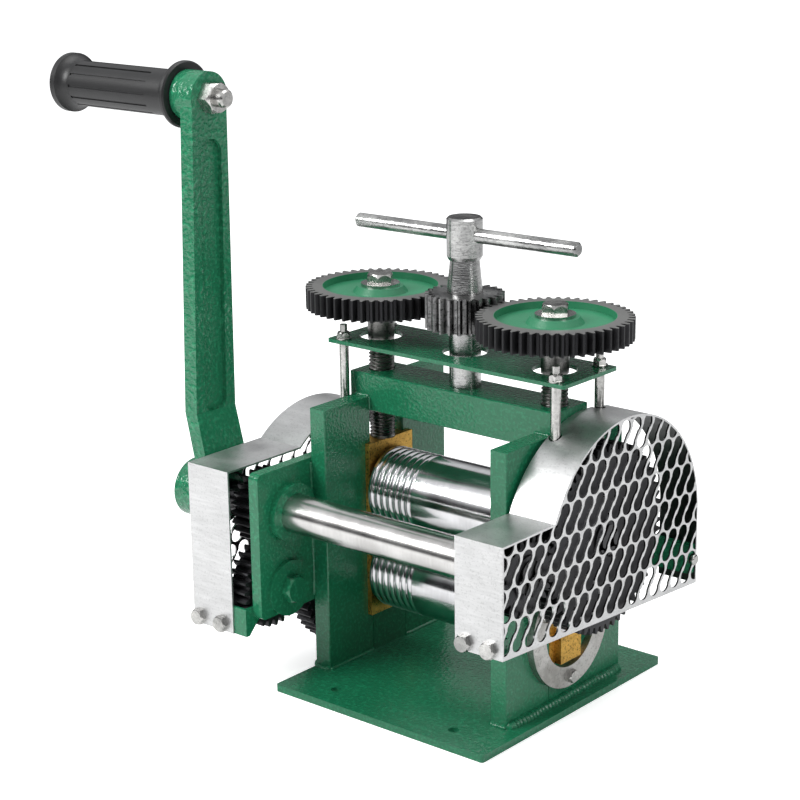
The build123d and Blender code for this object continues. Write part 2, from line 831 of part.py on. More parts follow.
# --- Front shaft with its keys and clips ---
shaft_end_x = right_drive_clip_x + circlip_width + circlip_depth
with BuildPart() as front_shaft:
    for start, end, diameter in (
        (crank_hub_far_x, crank_hub_inner_x, crank_seat_d),
        (crank_hub_inner_x, -left_gear_x, shaft_seat_d),
        (-left_gear_x, right_pinion_x, shaft_d),
        (right_pinion_x, shaft_end_x, shaft_seat_d),
    ):
        with BuildSketch(Plane.YZ.offset(start)):
            with Locations((shaft_y, shaft_z)):
                Circle(diameter / 2)
        extrude(amount=end - start)
    for clip_x, direction in ((left_drive_clip_x, -1), (right_drive_clip_x, 1)):
        with BuildSketch(Plane.YZ.offset(clip_x)):
            with Locations((shaft_y, shaft_z)):
                Circle(shaft_seat_d / 2)
                Circle(shaft_seat_d / 2 - circlip_depth, mode=Mode.SUBTRACT)
        extrude(amount=direction * circlip_width, mode=Mode.SUBTRACT)
    add(left_drive_key, mode=Mode.SUBTRACT)
    add(right_drive_key, mode=Mode.SUBTRACT)
    add(crank_key, mode=Mode.SUBTRACT)
    with BuildSketch(Plane.YZ.offset(crank_hub_far_x)):
        with Locations((shaft_y, shaft_z)):
            Circle(crank_end_bolt_d / 2)
    extrude(amount=crank_end_bolt_length, mode=Mode.SUBTRACT)
write(front_shaft.part, "front_shaft")

left_drive_clip = circlip(left_drive_clip_x, shaft_y, shaft_z, shaft_seat_d, -1)
right_drive_clip = circlip(right_drive_clip_x, shaft_y, shaft_z, shaft_seat_d, 1)
with BuildPart() as shaft_fasteners:
    add(left_drive_key)
    add(right_drive_key)
    add(crank_key)
    add(left_drive_clip)
    add(right_drive_clip)
write(shaft_fasteners.part, "shaft_keys_and_clips")

# --- Idler axle: a bolt through the left bracket, with a sleeve that carries the gear ---
sleeve_length = left_gear_far_x - bracket_outer_x + slide_clearance
sleeve_end_x = bracket_outer_x + sleeve_length
idler_bolt_reach = (
    idler_washer_thickness
    + bracket_thickness
    + sleeve_length
    + idler_end_washer_thickness
    + idler_nut_height
    + idler_bolt_d / 5
)
bolt_seat_x = -(frame_outer_x - idler_washer_thickness)
idler_bolt_part = hex_bolt(idler_bolt_d, idler_bolt_reach, idler_bolt_af, idler_bolt_head)
write(facing(1, bolt_seat_x, idler_y, idler_z) * idler_bolt_part, "idler_bolt")

idler_washer = washer(idler_washer_d, idler_bolt_d, idler_washer_thickness)
write(facing(1, -frame_outer_x, idler_y, idler_z) * idler_washer, "idler_washer")

with BuildPart() as idler_sleeve:
    with BuildSketch(facing(-1, -bracket_outer_x, idler_y, idler_z)):
        Circle(idler_sleeve_flange_d / 2)
    extrude(amount=left_gear_gap - slide_clearance)
    with BuildSketch(facing(-1, -bracket_outer_x, idler_y, idler_z)):
        Circle(idler_sleeve_d / 2)
    extrude(amount=sleeve_length)
    with BuildSketch(facing(-1, -bracket_outer_x, idler_y, idler_z)):
        Circle(idler_bolt_d / 2)
    extrude(amount=sleeve_length, mode=Mode.SUBTRACT)
write(idler_sleeve.part, "idler_sleeve")

idler_end_washer = washer(idler_end_washer_d, idler_bolt_d, idler_end_washer_thickness)
idler_end_nut = hex_nut(idler_bolt_d, idler_bolt_af, idler_nut_height)
idler_nut_x = -(sleeve_end_x + idler_end_washer_thickness)
write_group(
    "idler_nut_and_washer",
    facing(-1, -sleeve_end_x, idler_y, idler_z) * idler_end_washer,
    facing(-1, idler_nut_x, idler_y, idler_z) * idler_end_nut,
)

# --- Sheet covers over the gears: a bent strip, open below, and a perforated side panel ---
Cover = namedtuple(
    "Cover", "side prefix inner_x outer_x front top bottom_front bottom_rear arc_y arc_z r bolts"
)
covers = []
for side, prefix, *places in zip(
    (-1, 1),
    ("left", "right"),
    cover_inner_x,
    cover_outer_x,
    cover_front_y,
    cover_top_z,
    cover_bottom_front_z,
    cover_bottom_rear_z,
    cover_arc_y,
    cover_arc_z,
    cover_arc_r,
    cover_bolt_x,
):
    covers.append(Cover(side, prefix, *places))


def cover_outline(cover, inset, rise):
    """Side view of a cover, drawn in by inset, with its lower edge raised by rise."""
    r = cover.r - inset
    top = cover.top - inset
    front = cover.front + inset
    back = cover.arc_y + r
    arc_start_y = cover.arc_y - sqrt(r**2 - (top - cover.arc_z) ** 2)
    with BuildSketch() as outline:
        with BuildLine():
            Polyline((front, cover.bottom_front + rise), (front, top), (arc_start_y, top))
            ThreePointArc(
                (arc_start_y, top),
                (cover.arc_y, cover.arc_z + r),
                (back, cover.arc_z),
            )
            Polyline(
                (back, cover.arc_z),
                (back, cover.bottom_rear + rise),
                (front, cover.bottom_front + rise),
            )
        make_face()
    return outline.sketch


def mesh_slots(cover):
    """Leaning slots, wide at both ends, in staggered rows kept inside the panel's rim."""
    with BuildSketch() as one_slot:
        with Locations((-mesh_tip_y, -mesh_tip_z), (mesh_tip_y, mesh_tip_z)):
            Circle(mesh_tip_d / 2)
        with Locations((-mesh_lobe_y, -mesh_lobe_z), (mesh_lobe_y, mesh_lobe_z)):
            Circle(mesh_lobe_d / 2)
        SlotCenterToCenter(
            2 * hypot(mesh_lobe_y, mesh_lobe_z),
            mesh_waist_d,
            rotation=degrees(atan2(mesh_lobe_z, mesh_lobe_y)),
        )
    height = cover.arc_z + cover.r - cover.bottom_rear
    length = cover.arc_y + cover.r - cover.front
    tilt = (cover.bottom_front - cover.bottom_rear) / length
    centres = []
    for row in range(int(height / mesh_pitch_z) + 2):
        for column in range(int(length / mesh_pitch_y) + 4):
            y = cover.front + mesh_first_column + row * mesh_row_shift
            y += (column - 2) * mesh_pitch_y
            fall = (y - cover.front) * tilt
            z = cover.bottom_front + mesh_first_row + row * mesh_pitch_z - fall
            centres.append((y, z))
    with BuildSketch() as slots:
        with Locations(*centres):
            add(one_slot.sketch)
        add(cover_outline(cover, mesh_rim, mesh_rim), mode=Mode.INTERSECT)
    return slots.sketch


panel_screw_z = rear_strap_bottom + rear_strap_height / 2
for cover in covers:
    with BuildPart() as cover_strip:
        with BuildSketch(Plane.YZ.offset(cover.side * cover.inner_x)):
            add(cover_outline(cover, 0, 0))
            add(cover_outline(cover, sheet, -cover.r), mode=Mode.SUBTRACT)
        extrude(amount=cover.side * (cover.outer_x - sheet - cover.inner_x))
        with BuildSketch(Plane.XZ.offset(-cover.front)):
            with Locations(
                *[(cover.side * x, cover.bottom_front + lug_height / 2) for x in cover.bolts]
            ):
                Circle(cover_bolt_d / 2)
        extrude(amount=sheet, both=True, mode=Mode.SUBTRACT)
        if cover.side > 0:
            with BuildSketch(Plane.XY.offset(cover.arc_z)):
                with Locations(*[place for place in stud_places if place[0] > 0]):
                    Circle(stud_notch_d / 2)
            extrude(amount=cover.r, mode=Mode.SUBTRACT)
            with BuildSketch(Plane.XY.offset(cover.bottom_rear)):
                with BuildLine():
                    back = cover.arc_y + cover.r
                    Polyline(
                        (cover.inner_x, cover.front),
                        (cover.inner_x + right_strip_skew, back),
                        (cover.inner_x, back),
                        close=True,
                    )
                make_face()
            extrude(amount=cover.arc_z + cover.r - cover.bottom_rear, mode=Mode.SUBTRACT)
    write(cover_strip.part, f"{cover.prefix}_cover_strip")

    panel_screw_y = cover.arc_y + cover.r - sheet - rear_lug_thickness / 2
    with BuildPart() as cover_panel:
        with BuildSketch(Plane.YZ.offset(cover.side * (cover.outer_x - sheet))):
            add(cover_outline(cover, 0, 0))
            add(mesh_slots(cover), mode=Mode.SUBTRACT)
            with Locations((panel_screw_y, panel_screw_z)):
                Circle(panel_screw_head_d / 2)
                Circle(panel_screw_d / 2, mode=Mode.SUBTRACT)
            if cover.side < 0:
                with Locations((shaft_y, shaft_z)):
                    Circle(shaft_opening_d / 2 + mesh_rim)
                    Circle(shaft_opening_d / 2, mode=Mode.SUBTRACT)
        extrude(amount=cover.side * sheet)
    write(cover_panel.part, f"{cover.prefix}_cover_panel")

# --- Lugs on the brackets and the rear posts, to which the covers are screwed ---
left_cover, right_cover = covers
left_lug_front = left_cover.front + sheet
left_lug_inner_x = -(bracket_outer_x + left_lug_side_thickness)
left_lug_far_x = -(left_cover.outer_x - sheet - lug_end_margin)
with BuildPart() as left_front_lug:
    with BuildSketch(Plane.YZ.offset(-bracket_outer_x)):
        with BuildLine():
            low = left_cover.bottom_front
            high = low + left_lug_side_height
            back = left_lug_front + left_lug_side_back
            Polyline(
                (left_lug_front, low),
                (left_lug_front, high),
                (back, high),
                (back, left_bracket_bottom),
                (left_lug_front + left_lug_front_thickness, low),
                close=True,
            )
        make_face()
    extrude(amount=-left_lug_side_thickness)
    with BuildSketch(Plane.YZ.offset(left_lug_inner_x)):
        with Locations((left_lug_front, low)):
            Rectangle(left_lug_front_thickness, lug_height, align=(Align.MIN, Align.MIN))
    extrude(amount=left_lug_far_x - left_lug_inner_x)
    with BuildSketch(Plane.YZ.offset(left_lug_inner_x)):
        with Locations((left_lug_front, low)):
            Rectangle(
                left_lug_face_thickness, left_lug_side_height, align=(Align.MIN, Align.MIN)
            )
    extrude(amount=-left_lug_face_reach)
    with BuildSketch(Plane.XZ.offset(-left_lug_front)):
        with Locations(*[(-x, low + lug_height / 2) for x in left_cover.bolts]):
            Circle(cover_bolt_d / 2)
    extrude(amount=-left_lug_front_thickness, mode=Mode.SUBTRACT)
write(left_front_lug.part, "left_front_lug")

right_lug_front = right_cover.front + sheet
right_lug_near_x = frame_outer_x + side_clearance
right_lug_far_x = right_cover.outer_x - sheet - lug_end_margin
with BuildPart() as right_front_lug:
    with BuildSketch(Plane.XY.offset(right_bracket_bottom)):
        with Locations((right_lug_near_x, right_lug_front)):
            Rectangle(
                right_lug_far_x - right_lug_near_x,
                right_lug_thickness,
                align=(Align.MIN, Align.MIN),
            )
    extrude(amount=-lug_height)
    with BuildSketch(Plane.XZ.offset(-right_lug_front)):
        with Locations(
            *[(x, right_cover.bottom_front + lug_height / 2) for x in right_cover.bolts]
        ):
            Circle(cover_bolt_d / 2)
    extrude(amount=-cover_bolt_depth, mode=Mode.SUBTRACT)
write(right_front_lug.part, "right_front_lug")

with BuildPart() as rear_straps:
    for cover in covers:
        strap_back_y = cover.arc_y + cover.r - sheet
        lug_front_y = strap_back_y - rear_lug_thickness
        near_x = cover.side * frame_outer_x
        strap_x = cover.side * (frame_outer_x + rear_strap_thickness)
        far_x = cover.side * (cover.outer_x - sheet)
        with BuildSketch(Plane.XY.offset(rear_strap_bottom)):
            with BuildLine():
                Polyline(
                    (near_x, post_centre_y),
                    (strap_x, post_centre_y),
                    (strap_x, lug_front_y),
                    (far_x, lug_front_y),
                    (far_x, strap_back_y),
                    (near_x, strap_back_y),
                    close=True,
                )
            make_face()
        extrude(amount=rear_strap_height)
        screw_y = strap_back_y - rear_lug_thickness / 2
        with BuildSketch(facing(cover.side, far_x, screw_y, panel_screw_z)):
            Circle(panel_screw_d / 2)
        extrude(amount=-panel_screw_depth, mode=Mode.SUBTRACT)
write(rear_straps.part, "rear_straps")

left_cover_bolt = hex_bolt(
    cover_bolt_d, sheet + left_lug_front_thickness, cover_bolt_af, cover_bolt_head
)
right_cover_bolt = hex_bolt(cover_bolt_d, cover_bolt_depth, cover_bolt_af, cover_bolt_head)
with BuildPart() as panel_screw:
    with BuildSketch():
        Circle(panel_screw_head_d / 2)
    extrude(amount=panel_screw_head)
    fillet(panel_screw.faces().sort_by(Axis.Z)[-1].edges(), panel_screw_head * 0.6)
    with BuildSketch():
        Circle(panel_screw_d / 2)
    extrude(amount=-panel_screw_depth)
with BuildPart() as cover_screws:
    for cover, bolt in zip(covers, (left_cover_bolt, right_cover_bolt)):
        for x in cover.bolts:
            bolt_z = cover.bottom_front + lug_height / 2
            with Locations(facing_front(cover.side * x, cover.front, bolt_z)):
                add(bolt)
        screw_y = cover.arc_y + cover.r - sheet - rear_lug_thickness / 2
        with Locations(facing(cover.side, cover.side * cover.outer_x, screw_y, panel_screw_z)):
            add(panel_screw.part)
write(cover_screws.part, "cover_screws")

# --- Plate above the beam, carried by four studs on the frame's outer faces ---
with BuildPart() as top_plate:
    with BuildSketch(Plane.XY.offset(plate_bottom)):
        with Locations((top_plate_centre_x, 0)):
            RectangleRounded(top_plate_length, top_plate_depth, base_corner_r)
        with Locations((-screw_half_spacing, 0), (screw_half_spacing, 0)):
            Circle(top_plate_screw_hole_d / 2, mode=Mode.SUBTRACT)
        Circle(top_plate_spindle_hole_d / 2, mode=Mode.SUBTRACT)
        with Locations(*stud_places):
            Circle(stud_thread_d / 2, mode=Mode.SUBTRACT)
    extrude(amount=top_plate_thickness)
write(top_plate.part, "top_plate")

with BuildPart() as plate_studs:
    with BuildSketch(Plane.XY.offset(stud_foot_z)):
        with Locations(*stud_places):
            Circle(stud_d / 2)
    extrude(amount=plate_bottom - stud_foot_z)
    with BuildSketch(Plane.XY.offset(plate_bottom)):
        with Locations(*stud_places):
            Circle(stud_thread_d / 2)
    extrude(amount=stud_top_z - plate_bottom)
    with BuildSketch(Plane.XY.offset(stud_foot_z)):
        for foot_y in (-stud_spacing_y / 2, stud_spacing_y / 2):
            with Locations((frame_outer_x, foot_y)):
                Rectangle(
                    right_stud_offset + stud_d / 2,
                    right_stud_foot_width,
                    align=(Align.MIN, Align.CENTER),
                )
    extrude(amount=right_stud_foot_height)
write(plate_studs.part, "plate_studs")

stud_washer = washer(stud_washer_d, stud_thread_d, stud_washer_thickness)
stud_nut = hex_nut(stud_thread_d, stud_nut_af, stud_nut_height)
stud_fasteners = []
nut_seat_z = top_plate_top + stud_washer_thickness
for x, y in stud_places:
    stud_fasteners.append(Pos(x, y, top_plate_top) * stud_washer)
    stud_fasteners.append(Pos(x, y, nut_seat_z) * stud_nut)
write_group("stud_nuts_and_washers", *stud_fasteners)

# --- Pressure screws with their gears ---
screw_gear_top = screw_gear_bottom + screw_gear_width
hub_top = screw_gear_top - screw_gear_hub_drop
for side, prefix in ((-1, "left"), (1, "right")):
    with BuildPart() as pressure_screw:
        with BuildSketch(Plane.XZ):
            with BuildLine():
                groove_top = upper_block_top - spigot_groove_drop
                groove_bottom = groove_top - spigot_groove_length
                undercut_top = screw_thread_top + screw_undercut_length
                Polyline(
                    (0, upper_block_top - spigot_length),
                    (spigot_d / 2, upper_block_top - spigot_length),
                    (spigot_d / 2, groove_bottom),
                    (spigot_groove_d / 2, groove_bottom),
                    (spigot_groove_d / 2, groove_top),
                    (spigot_d / 2, groove_top),
                    (spigot_d / 2, upper_block_top),
                    (screw_thread_d / 2, upper_block_top),
                    (screw_thread_d / 2, screw_thread_top - 1),
                    (screw_undercut_d / 2, screw_thread_top),
                    (screw_undercut_d / 2, undercut_top),
                    (screw_neck_d / 2, undercut_top),
                    (screw_neck_d / 2, screw_gear_bottom),
                    (screw_gear_seat_d / 2, screw_gear_bottom),
                    (screw_gear_seat_d / 2, hub_top),
                    (top_bolt_d / 2, hub_top),
                    (top_bolt_d / 2, hub_top - top_bolt_length),
                    (0, hub_top - top_bolt_length),
                    close=True,
                )
            make_face()
        revolve(axis=Axis.Z)
    write(Pos(side * screw_half_spacing, 0, 0) * pressure_screw.part, f"{prefix}_pressure_screw")

    with BuildPart() as screw_gear:
        with BuildSketch(Plane.XY.offset(screw_gear_bottom)):
            add(gear_outline(screw_gear_teeth), rotation=screw_gear_phase)
        extrude(amount=screw_gear_width)
        with BuildSketch(Plane.XY.offset(screw_gear_top)):
            Circle(screw_gear_recess_d / 2)
        extrude(amount=-screw_gear_recess_depth, mode=Mode.SUBTRACT)
        with BuildSketch(Plane.XY.offset(screw_gear_top - screw_gear_recess_depth)):
            Circle(screw_gear_hub_d / 2)
        with BuildSketch(Plane.XY.offset(hub_top)):
            Circle(screw_gear_hub_top_d / 2)
        loft()
        with BuildSketch(Plane.XY.offset(screw_gear_bottom)):
            Circle(screw_gear_seat_d / 2)
        extrude(amount=hub_top - screw_gear_bottom, mode=Mode.SUBTRACT)
    write(Pos(side * screw_half_spacing, 0, 0) * screw_gear.part, f"{prefix}_screw_gear")

    top_washer = washer(top_washer_d, top_bolt_d, top_washer_thickness)
    top_bolt = hex_bolt(top_bolt_d, top_bolt_length, top_bolt_af, top_bolt_head)
    write_group(
        f"{prefix}_top_bolt_and_washer",
        Pos(side * screw_half_spacing, 0, hub_top) * top_washer,
        Pos(side * screw_half_spacing, 0, hub_top + top_washer_thickness) * top_bolt,
    )

# --- T spindle, its pinion and the bar through its head ---
lock_groove_height = lock_screw_d + 2 * slide_clearance
t_bar_turn = radians(t_bar_angle)
t_bar_plane = Plane((0, 0, t_bar_z), z_dir=(cos(t_bar_turn), sin(t_bar_turn), 0))
with BuildPart() as t_spindle:
    with BuildSketch(Plane.XZ):
        with BuildLine():
            groove_r = spindle_d / 2 - lock_groove_depth
            Polyline(
                (0, beam_top - spindle_seat_depth),
                (spindle_d / 2, beam_top - spindle_seat_depth),
                (spindle_d / 2, lock_screw_z - lock_groove_height / 2),
                (groove_r, lock_screw_z - lock_groove_height / 2),
                (groove_r, lock_screw_z + lock_groove_height / 2),
                (spindle_d / 2, lock_screw_z + lock_groove_height / 2),
                (spindle_d / 2, spindle_cone_bottom),
                (spindle_cone_d / 2, spindle_cone_bottom),
                (spindle_neck_d / 2, spindle_head_bottom - spindle_chamfer),
                (spindle_head_d / 2 - spindle_chamfer, spindle_head_bottom - spindle_chamfer),
                (spindle_head_d / 2, spindle_head_bottom + spindle_chamfer),
                (spindle_head_d / 2, spindle_top - spindle_chamfer),
                (spindle_head_d / 2 - spindle_chamfer, spindle_top),
                (0, spindle_top),
                close=True,
            )
        make_face()
    revolve(axis=Axis.Z)
    with BuildSketch(t_bar_plane):
        Circle(t_bar_d / 2)
    extrude(amount=spindle_head_d, both=True, mode=Mode.SUBTRACT)
write(t_spindle.part, "t_spindle")

with BuildPart() as t_pinion:
    with BuildSketch(Plane.XY.offset(t_pinion_bottom)):
        add(gear_outline(pinion_teeth))
        Circle(spindle_d / 2, mode=Mode.SUBTRACT)
    extrude(amount=spindle_cone_bottom - t_pinion_bottom)
write(t_pinion.part, "t_pinion")

with BuildPart() as t_bar:
    with BuildSketch(t_bar_plane):
        Circle(t_bar_d / 2)
    extrude(amount=t_bar_length / 2, both=True)
    chamfer(t_bar.edges().filter_by(GeomType.CIRCLE), t_bar_chamfer)
write(t_bar.part, "t_bar")

# --- Crank arm: an upright cast arm, bent towards the mill above its hub ---
lean = radians(crank_lean)
shaft_point = (0, shaft_y, shaft_z)
arm_face_plane = Plane(shaft_point, x_dir=(0, cos(lean), -sin(lean)), z_dir=(1, 0, 0))
arm_side_plane = Plane(shaft_point, x_dir=(1, 0, 0), z_dir=(0, -cos(lean), sin(lean)))
grip_y = shaft_y + crank_throw * sin(lean)
grip_z = shaft_z + crank_throw * cos(lean)
arm_shift = crank_hub_inner_x - crank_arm_inner_x
arm_end_r = crank_boss_r - crank_boss_step
arm_hub_r = crank_hub_r - crank_boss_step
with BuildPart() as crank_arm:
    with BuildSketch(arm_side_plane):
        with BuildLine():
            Polyline(
                (crank_hub_inner_x, -crank_hub_r),
                (crank_hub_inner_x, crank_bend_low),
                (crank_arm_inner_x, crank_bend_high),
                (crank_arm_inner_x, crank_throw + crank_boss_r),
                (crank_arm_far_x, crank_throw + crank_boss_r),
                (crank_arm_far_x, crank_bend_high),
                (crank_arm_far_x + arm_shift, crank_bend_low),
                (crank_arm_far_x + arm_shift, -crank_hub_r),
                close=True,
            )
        make_face()
    extrude(amount=crank_hub_r, both=True)
    with BuildSketch(arm_face_plane.offset(crank_boss_far_x)):
        Circle(arm_hub_r)
        with Locations((0, crank_throw)):
            Circle(arm_end_r)
        with BuildLine():
            Polyline(
                (-arm_hub_r + crank_boss_step, 0),
                (-arm_end_r + crank_boss_step, crank_throw),
                (arm_end_r - crank_boss_step, crank_throw),
                (arm_hub_r - crank_boss_step, 0),
                close=True,
            )
        make_face()
    extrude(amount=2 * crank_boss_length, mode=Mode.INTERSECT)
    with BuildSketch(arm_face_plane.offset(crank_hub_inner_x)):
        Circle(crank_hub_r)
    extrude(amount=-crank_hub_length)
    with BuildSketch(arm_face_plane.offset(crank_arm_inner_x)):
        with Locations((0, crank_throw)):
            Circle(crank_boss_r)
    extrude(amount=-crank_boss_length)
    with BuildSketch(arm_face_plane.offset(crank_arm_inner_x)):
        with Locations((0, (crank_pocket_low + crank_pocket_high) / 2)):
            SlotOverall(
                crank_pocket_high - crank_pocket_low, crank_pocket_width, rotation=90
            )
    extrude(amount=-crank_pocket_depth, mode=Mode.SUBTRACT)
    with BuildSketch(arm_face_plane.offset(crank_hub_far_x)):
        Circle(crank_seat_d / 2)
    extrude(amount=crank_hub_length, mode=Mode.SUBTRACT)
    with BuildSketch(arm_face_plane.offset(crank_boss_far_x)):
        with Locations((0, crank_throw)):
            Circle(grip_bolt_d / 2)
    extrude(amount=crank_boss_length, mode=Mode.SUBTRACT)
    add(crank_key, mode=Mode.SUBTRACT)
write(crank_arm.part, "crank_arm")

end_washer = washer(crank_end_washer_d, crank_end_bolt_d, crank_end_washer_thickness)
end_bolt = hex_bolt(
    crank_end_bolt_d,
    crank_end_bolt_length,
    crank_end_bolt_af,
    crank_end_bolt_head,
)
end_bolt_x = crank_hub_far_x - crank_end_washer_thickness
write_group(
    "crank_end_bolt_and_washer",
    facing(-1, crank_hub_far_x, shaft_y, shaft_z) * end_washer,
    facing(-1, end_bolt_x, shaft_y, shaft_z) * end_bolt,
)

# --- Grip: a ribbed sleeve that turns on a long bolt, whose nut is on the mill's side ---
grip_inner_x = crank_boss_far_x - grip_gap
grip_outer_x = grip_inner_x - grip_length
grip_head_x = grip_outer_x + grip_counterbore_depth
with BuildPart() as grip:
    with BuildSketch(Plane.XZ.offset(-grip_y)):
        with BuildLine():
            bore_r = grip_bolt_d / 2 + slide_clearance
            Polyline(
                (grip_inner_x, grip_z + bore_r),
                (grip_inner_x, grip_z + grip_inner_end_r - 1),
                (grip_inner_x - 1, grip_z + grip_inner_end_r),
                (grip_inner_x - grip_end_thickness / 2, grip_z + grip_inner_end_r),
            )
            ThreePointArc(
                (grip_inner_x - grip_end_thickness / 2, grip_z + grip_inner_end_r),
                (
                    grip_inner_x - grip_end_thickness / 2 - grip_flare_length * 0.33,
                    grip_z + grip_body_r + (grip_inner_end_r - grip_body_r) * 0.3,
                ),
                (grip_inner_x - grip_end_thickness / 2 - grip_flare_length, grip_z + grip_body_r),
            )
            Polyline(
                (grip_inner_x - grip_end_thickness / 2 - grip_flare_length, grip_z + grip_body_r),
                (grip_outer_x + grip_end_thickness + grip_flare_length, grip_z + grip_body_r),
            )
            ThreePointArc(
                (grip_outer_x + grip_end_thickness + grip_flare_length, grip_z + grip_body_r),
                (
                    grip_outer_x + grip_end_thickness + grip_flare_length * 0.33,
                    grip_z + grip_body_r + (grip_end_r - grip_body_r) * 0.3,
                ),
                (grip_outer_x + grip_end_thickness, grip_z + grip_end_r),
            )
            Polyline(
                (grip_outer_x + grip_end_thickness, grip_z + grip_end_r),
                (grip_outer_x + 1.5, grip_z + grip_end_r),
                (grip_outer_x, grip_z + grip_end_r - 1.5),
                (grip_outer_x, grip_z + grip_counterbore_d / 2),
                (grip_head_x, grip_z + grip_counterbore_d / 2),
                (grip_head_x, grip_z + bore_r),
                (grip_inner_x, grip_z + bore_r),
            )
        make_face()
    revolve(axis=Axis((0, grip_y, grip_z), (1, 0, 0)))
    with BuildSketch(Plane.YZ.offset(grip_outer_x + grip_rib_start)):
        with Locations((grip_y, grip_z)):
            with PolarLocations(grip_body_r, grip_rib_count):
                Rectangle(2 * grip_rib_height, grip_rib_width)
    extrude(amount=grip_rib_length, mode=Mode.SUBTRACT)
write(grip.part, "grip")

nut_seat_x = crank_arm_inner_x
grip_bolt_reach = (
    nut_seat_x + grip_nut_height + grip_thread_past_nut - grip_head_x - slide_clearance
)
grip_bolt = hex_bolt(grip_bolt_d, grip_bolt_reach, grip_bolt_af, grip_bolt_head)
bolt_seat = facing(-1, grip_head_x - slide_clearance, grip_y, grip_z)
write(bolt_seat * grip_bolt, "grip_bolt")
grip_nut = hex_nut(grip_bolt_d, grip_bolt_af, grip_nut_height)
write(facing(1, nut_seat_x, grip_y, grip_z) * grip_nut, "grip_nut")
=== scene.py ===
import math

import bmesh
import bpy
from mathutils import Matrix, Vector, noise


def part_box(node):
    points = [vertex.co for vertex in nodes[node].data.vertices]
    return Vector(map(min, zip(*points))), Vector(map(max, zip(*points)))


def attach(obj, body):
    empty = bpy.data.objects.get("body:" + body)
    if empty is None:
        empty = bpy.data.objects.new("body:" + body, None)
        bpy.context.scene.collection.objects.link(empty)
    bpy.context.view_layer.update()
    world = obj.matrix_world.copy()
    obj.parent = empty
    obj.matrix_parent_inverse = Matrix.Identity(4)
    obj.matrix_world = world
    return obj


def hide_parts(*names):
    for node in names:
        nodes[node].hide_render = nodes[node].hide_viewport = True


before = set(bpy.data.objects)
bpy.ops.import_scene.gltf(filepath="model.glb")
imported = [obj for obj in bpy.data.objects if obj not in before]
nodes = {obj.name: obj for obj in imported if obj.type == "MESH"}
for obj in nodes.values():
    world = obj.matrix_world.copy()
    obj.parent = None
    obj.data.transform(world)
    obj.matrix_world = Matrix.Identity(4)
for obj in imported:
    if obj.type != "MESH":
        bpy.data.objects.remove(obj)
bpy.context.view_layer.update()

mm = 0.001

# ---------------------------------------------------------------------------
# Studio: a white floor under soft light, and the camera at the front right,
# a little above the mill, as the photograph has it.
# ---------------------------------------------------------------------------
sensor_mm = 36.0
focal_length_px = 2073.67
image_px = 800.0
camera_place = (0.81219, -1.02112, 0.57099)
camera_yaw, camera_pitch, camera_roll = 40.38, -16.12, -0.81

camera_data = bpy.data.cameras.new("camera")
camera_data.sensor_width = sensor_mm
camera_data.lens = focal_length_px * sensor_mm / image_px
camera_data.clip_end = 100.0
camera = bpy.data.objects.new("camera", camera_data)
camera.matrix_world = (
    Matrix.Translation(camera_place)
    @ Matrix.Rotation(math.radians(camera_yaw), 4, "Z")
    @ Matrix.Rotation(math.radians(90 + camera_pitch), 4, "X")
    @ Matrix.Rotation(math.radians(camera_roll), 4, "Z")
)
bpy.context.collection.objects.link(camera)
bpy.context.scene.camera = camera
bpy.context.scene.view_settings.view_transform = "Standard"


def soft_light(name, place, width, height, power):
    """Rectangular softbox at place, facing the middle of the mill."""
    data = bpy.data.lights.new(name, "AREA")
    data.shape = "RECTANGLE"
    data.size, data.size_y = width, height
    data.energy = power
    lamp = bpy.data.objects.new(name, data)
    lamp.location = place
    facing = Vector(mill_middle) - Vector(place)
    lamp.rotation_euler = facing.to_track_quat("-Z", "Y").to_euler()
    bpy.context.collection.objects.link(lamp)


mill_middle = (0.0, 0.0, 0.18)
soft_light("key_softbox", (-0.75, -1.35, 1.25), width=0.8, height=0.8, power=26.0)
soft_light("top_softbox", (0.1, 0.25, 1.6), width=1.2, height=0.9, power=10.0)
soft_light("side_softbox", (1.5, -0.1, 0.75), width=0.4, height=0.7, power=4.0)

# The room is dark near the horizon and pale overhead; the camera sees white.
world = bpy.data.worlds.new("studio")
bpy.context.scene.world = world
world.use_nodes = True
tree = world.node_tree
tree.nodes.clear()
direction = tree.nodes.new("ShaderNodeTexCoord")
split = tree.nodes.new("ShaderNodeSeparateXYZ")
tree.links.new(direction.outputs["Generated"], split.inputs[0])
room = tree.nodes.new("ShaderNodeValToRGB")
room.color_ramp.elements[0].position = 0.20
room.color_ramp.elements[0].color = (0.035, 0.035, 0.038, 1)
room.color_ramp.elements[1].position = 0.50
room.color_ramp.elements[1].color = (0.85, 0.86, 0.87, 1)
tree.links.new(split.outputs["Z"], room.inputs["Fac"])
path = tree.nodes.new("ShaderNodeLightPath")
seen = tree.nodes.new("ShaderNodeBackground")
seen.inputs["Color"].default_value = (1, 1, 1, 1)
seen.inputs["Strength"].default_value = 1.0
lit = tree.nodes.new("ShaderNodeBackground")
lit.inputs["Strength"].default_value = 0.9
tree.links.new(room.outputs["Color"], lit.inputs["Color"])
choose = tree.nodes.new("ShaderNodeMixShader")
tree.links.new(path.outputs["Is Camera Ray"], choose.inputs["Fac"])
tree.links.new(lit.outputs[0], choose.inputs[1])
tree.links.new(seen.outputs[0], choose.inputs[2])
output = tree.nodes.new("ShaderNodeOutputWorld")
tree.links.new(choose.outputs[0], output.inputs["Surface"])


def new_mesh_object(name, bm):
    """Finish a bmesh as an object at the origin."""
    mesh = bpy.data.meshes.new(name)
    bm.normal_update()
    bm.to_mesh(mesh)
    bm.free()
    made = bpy.data.objects.new(name, mesh)
    bpy.context.collection.objects.link(made)
    return made


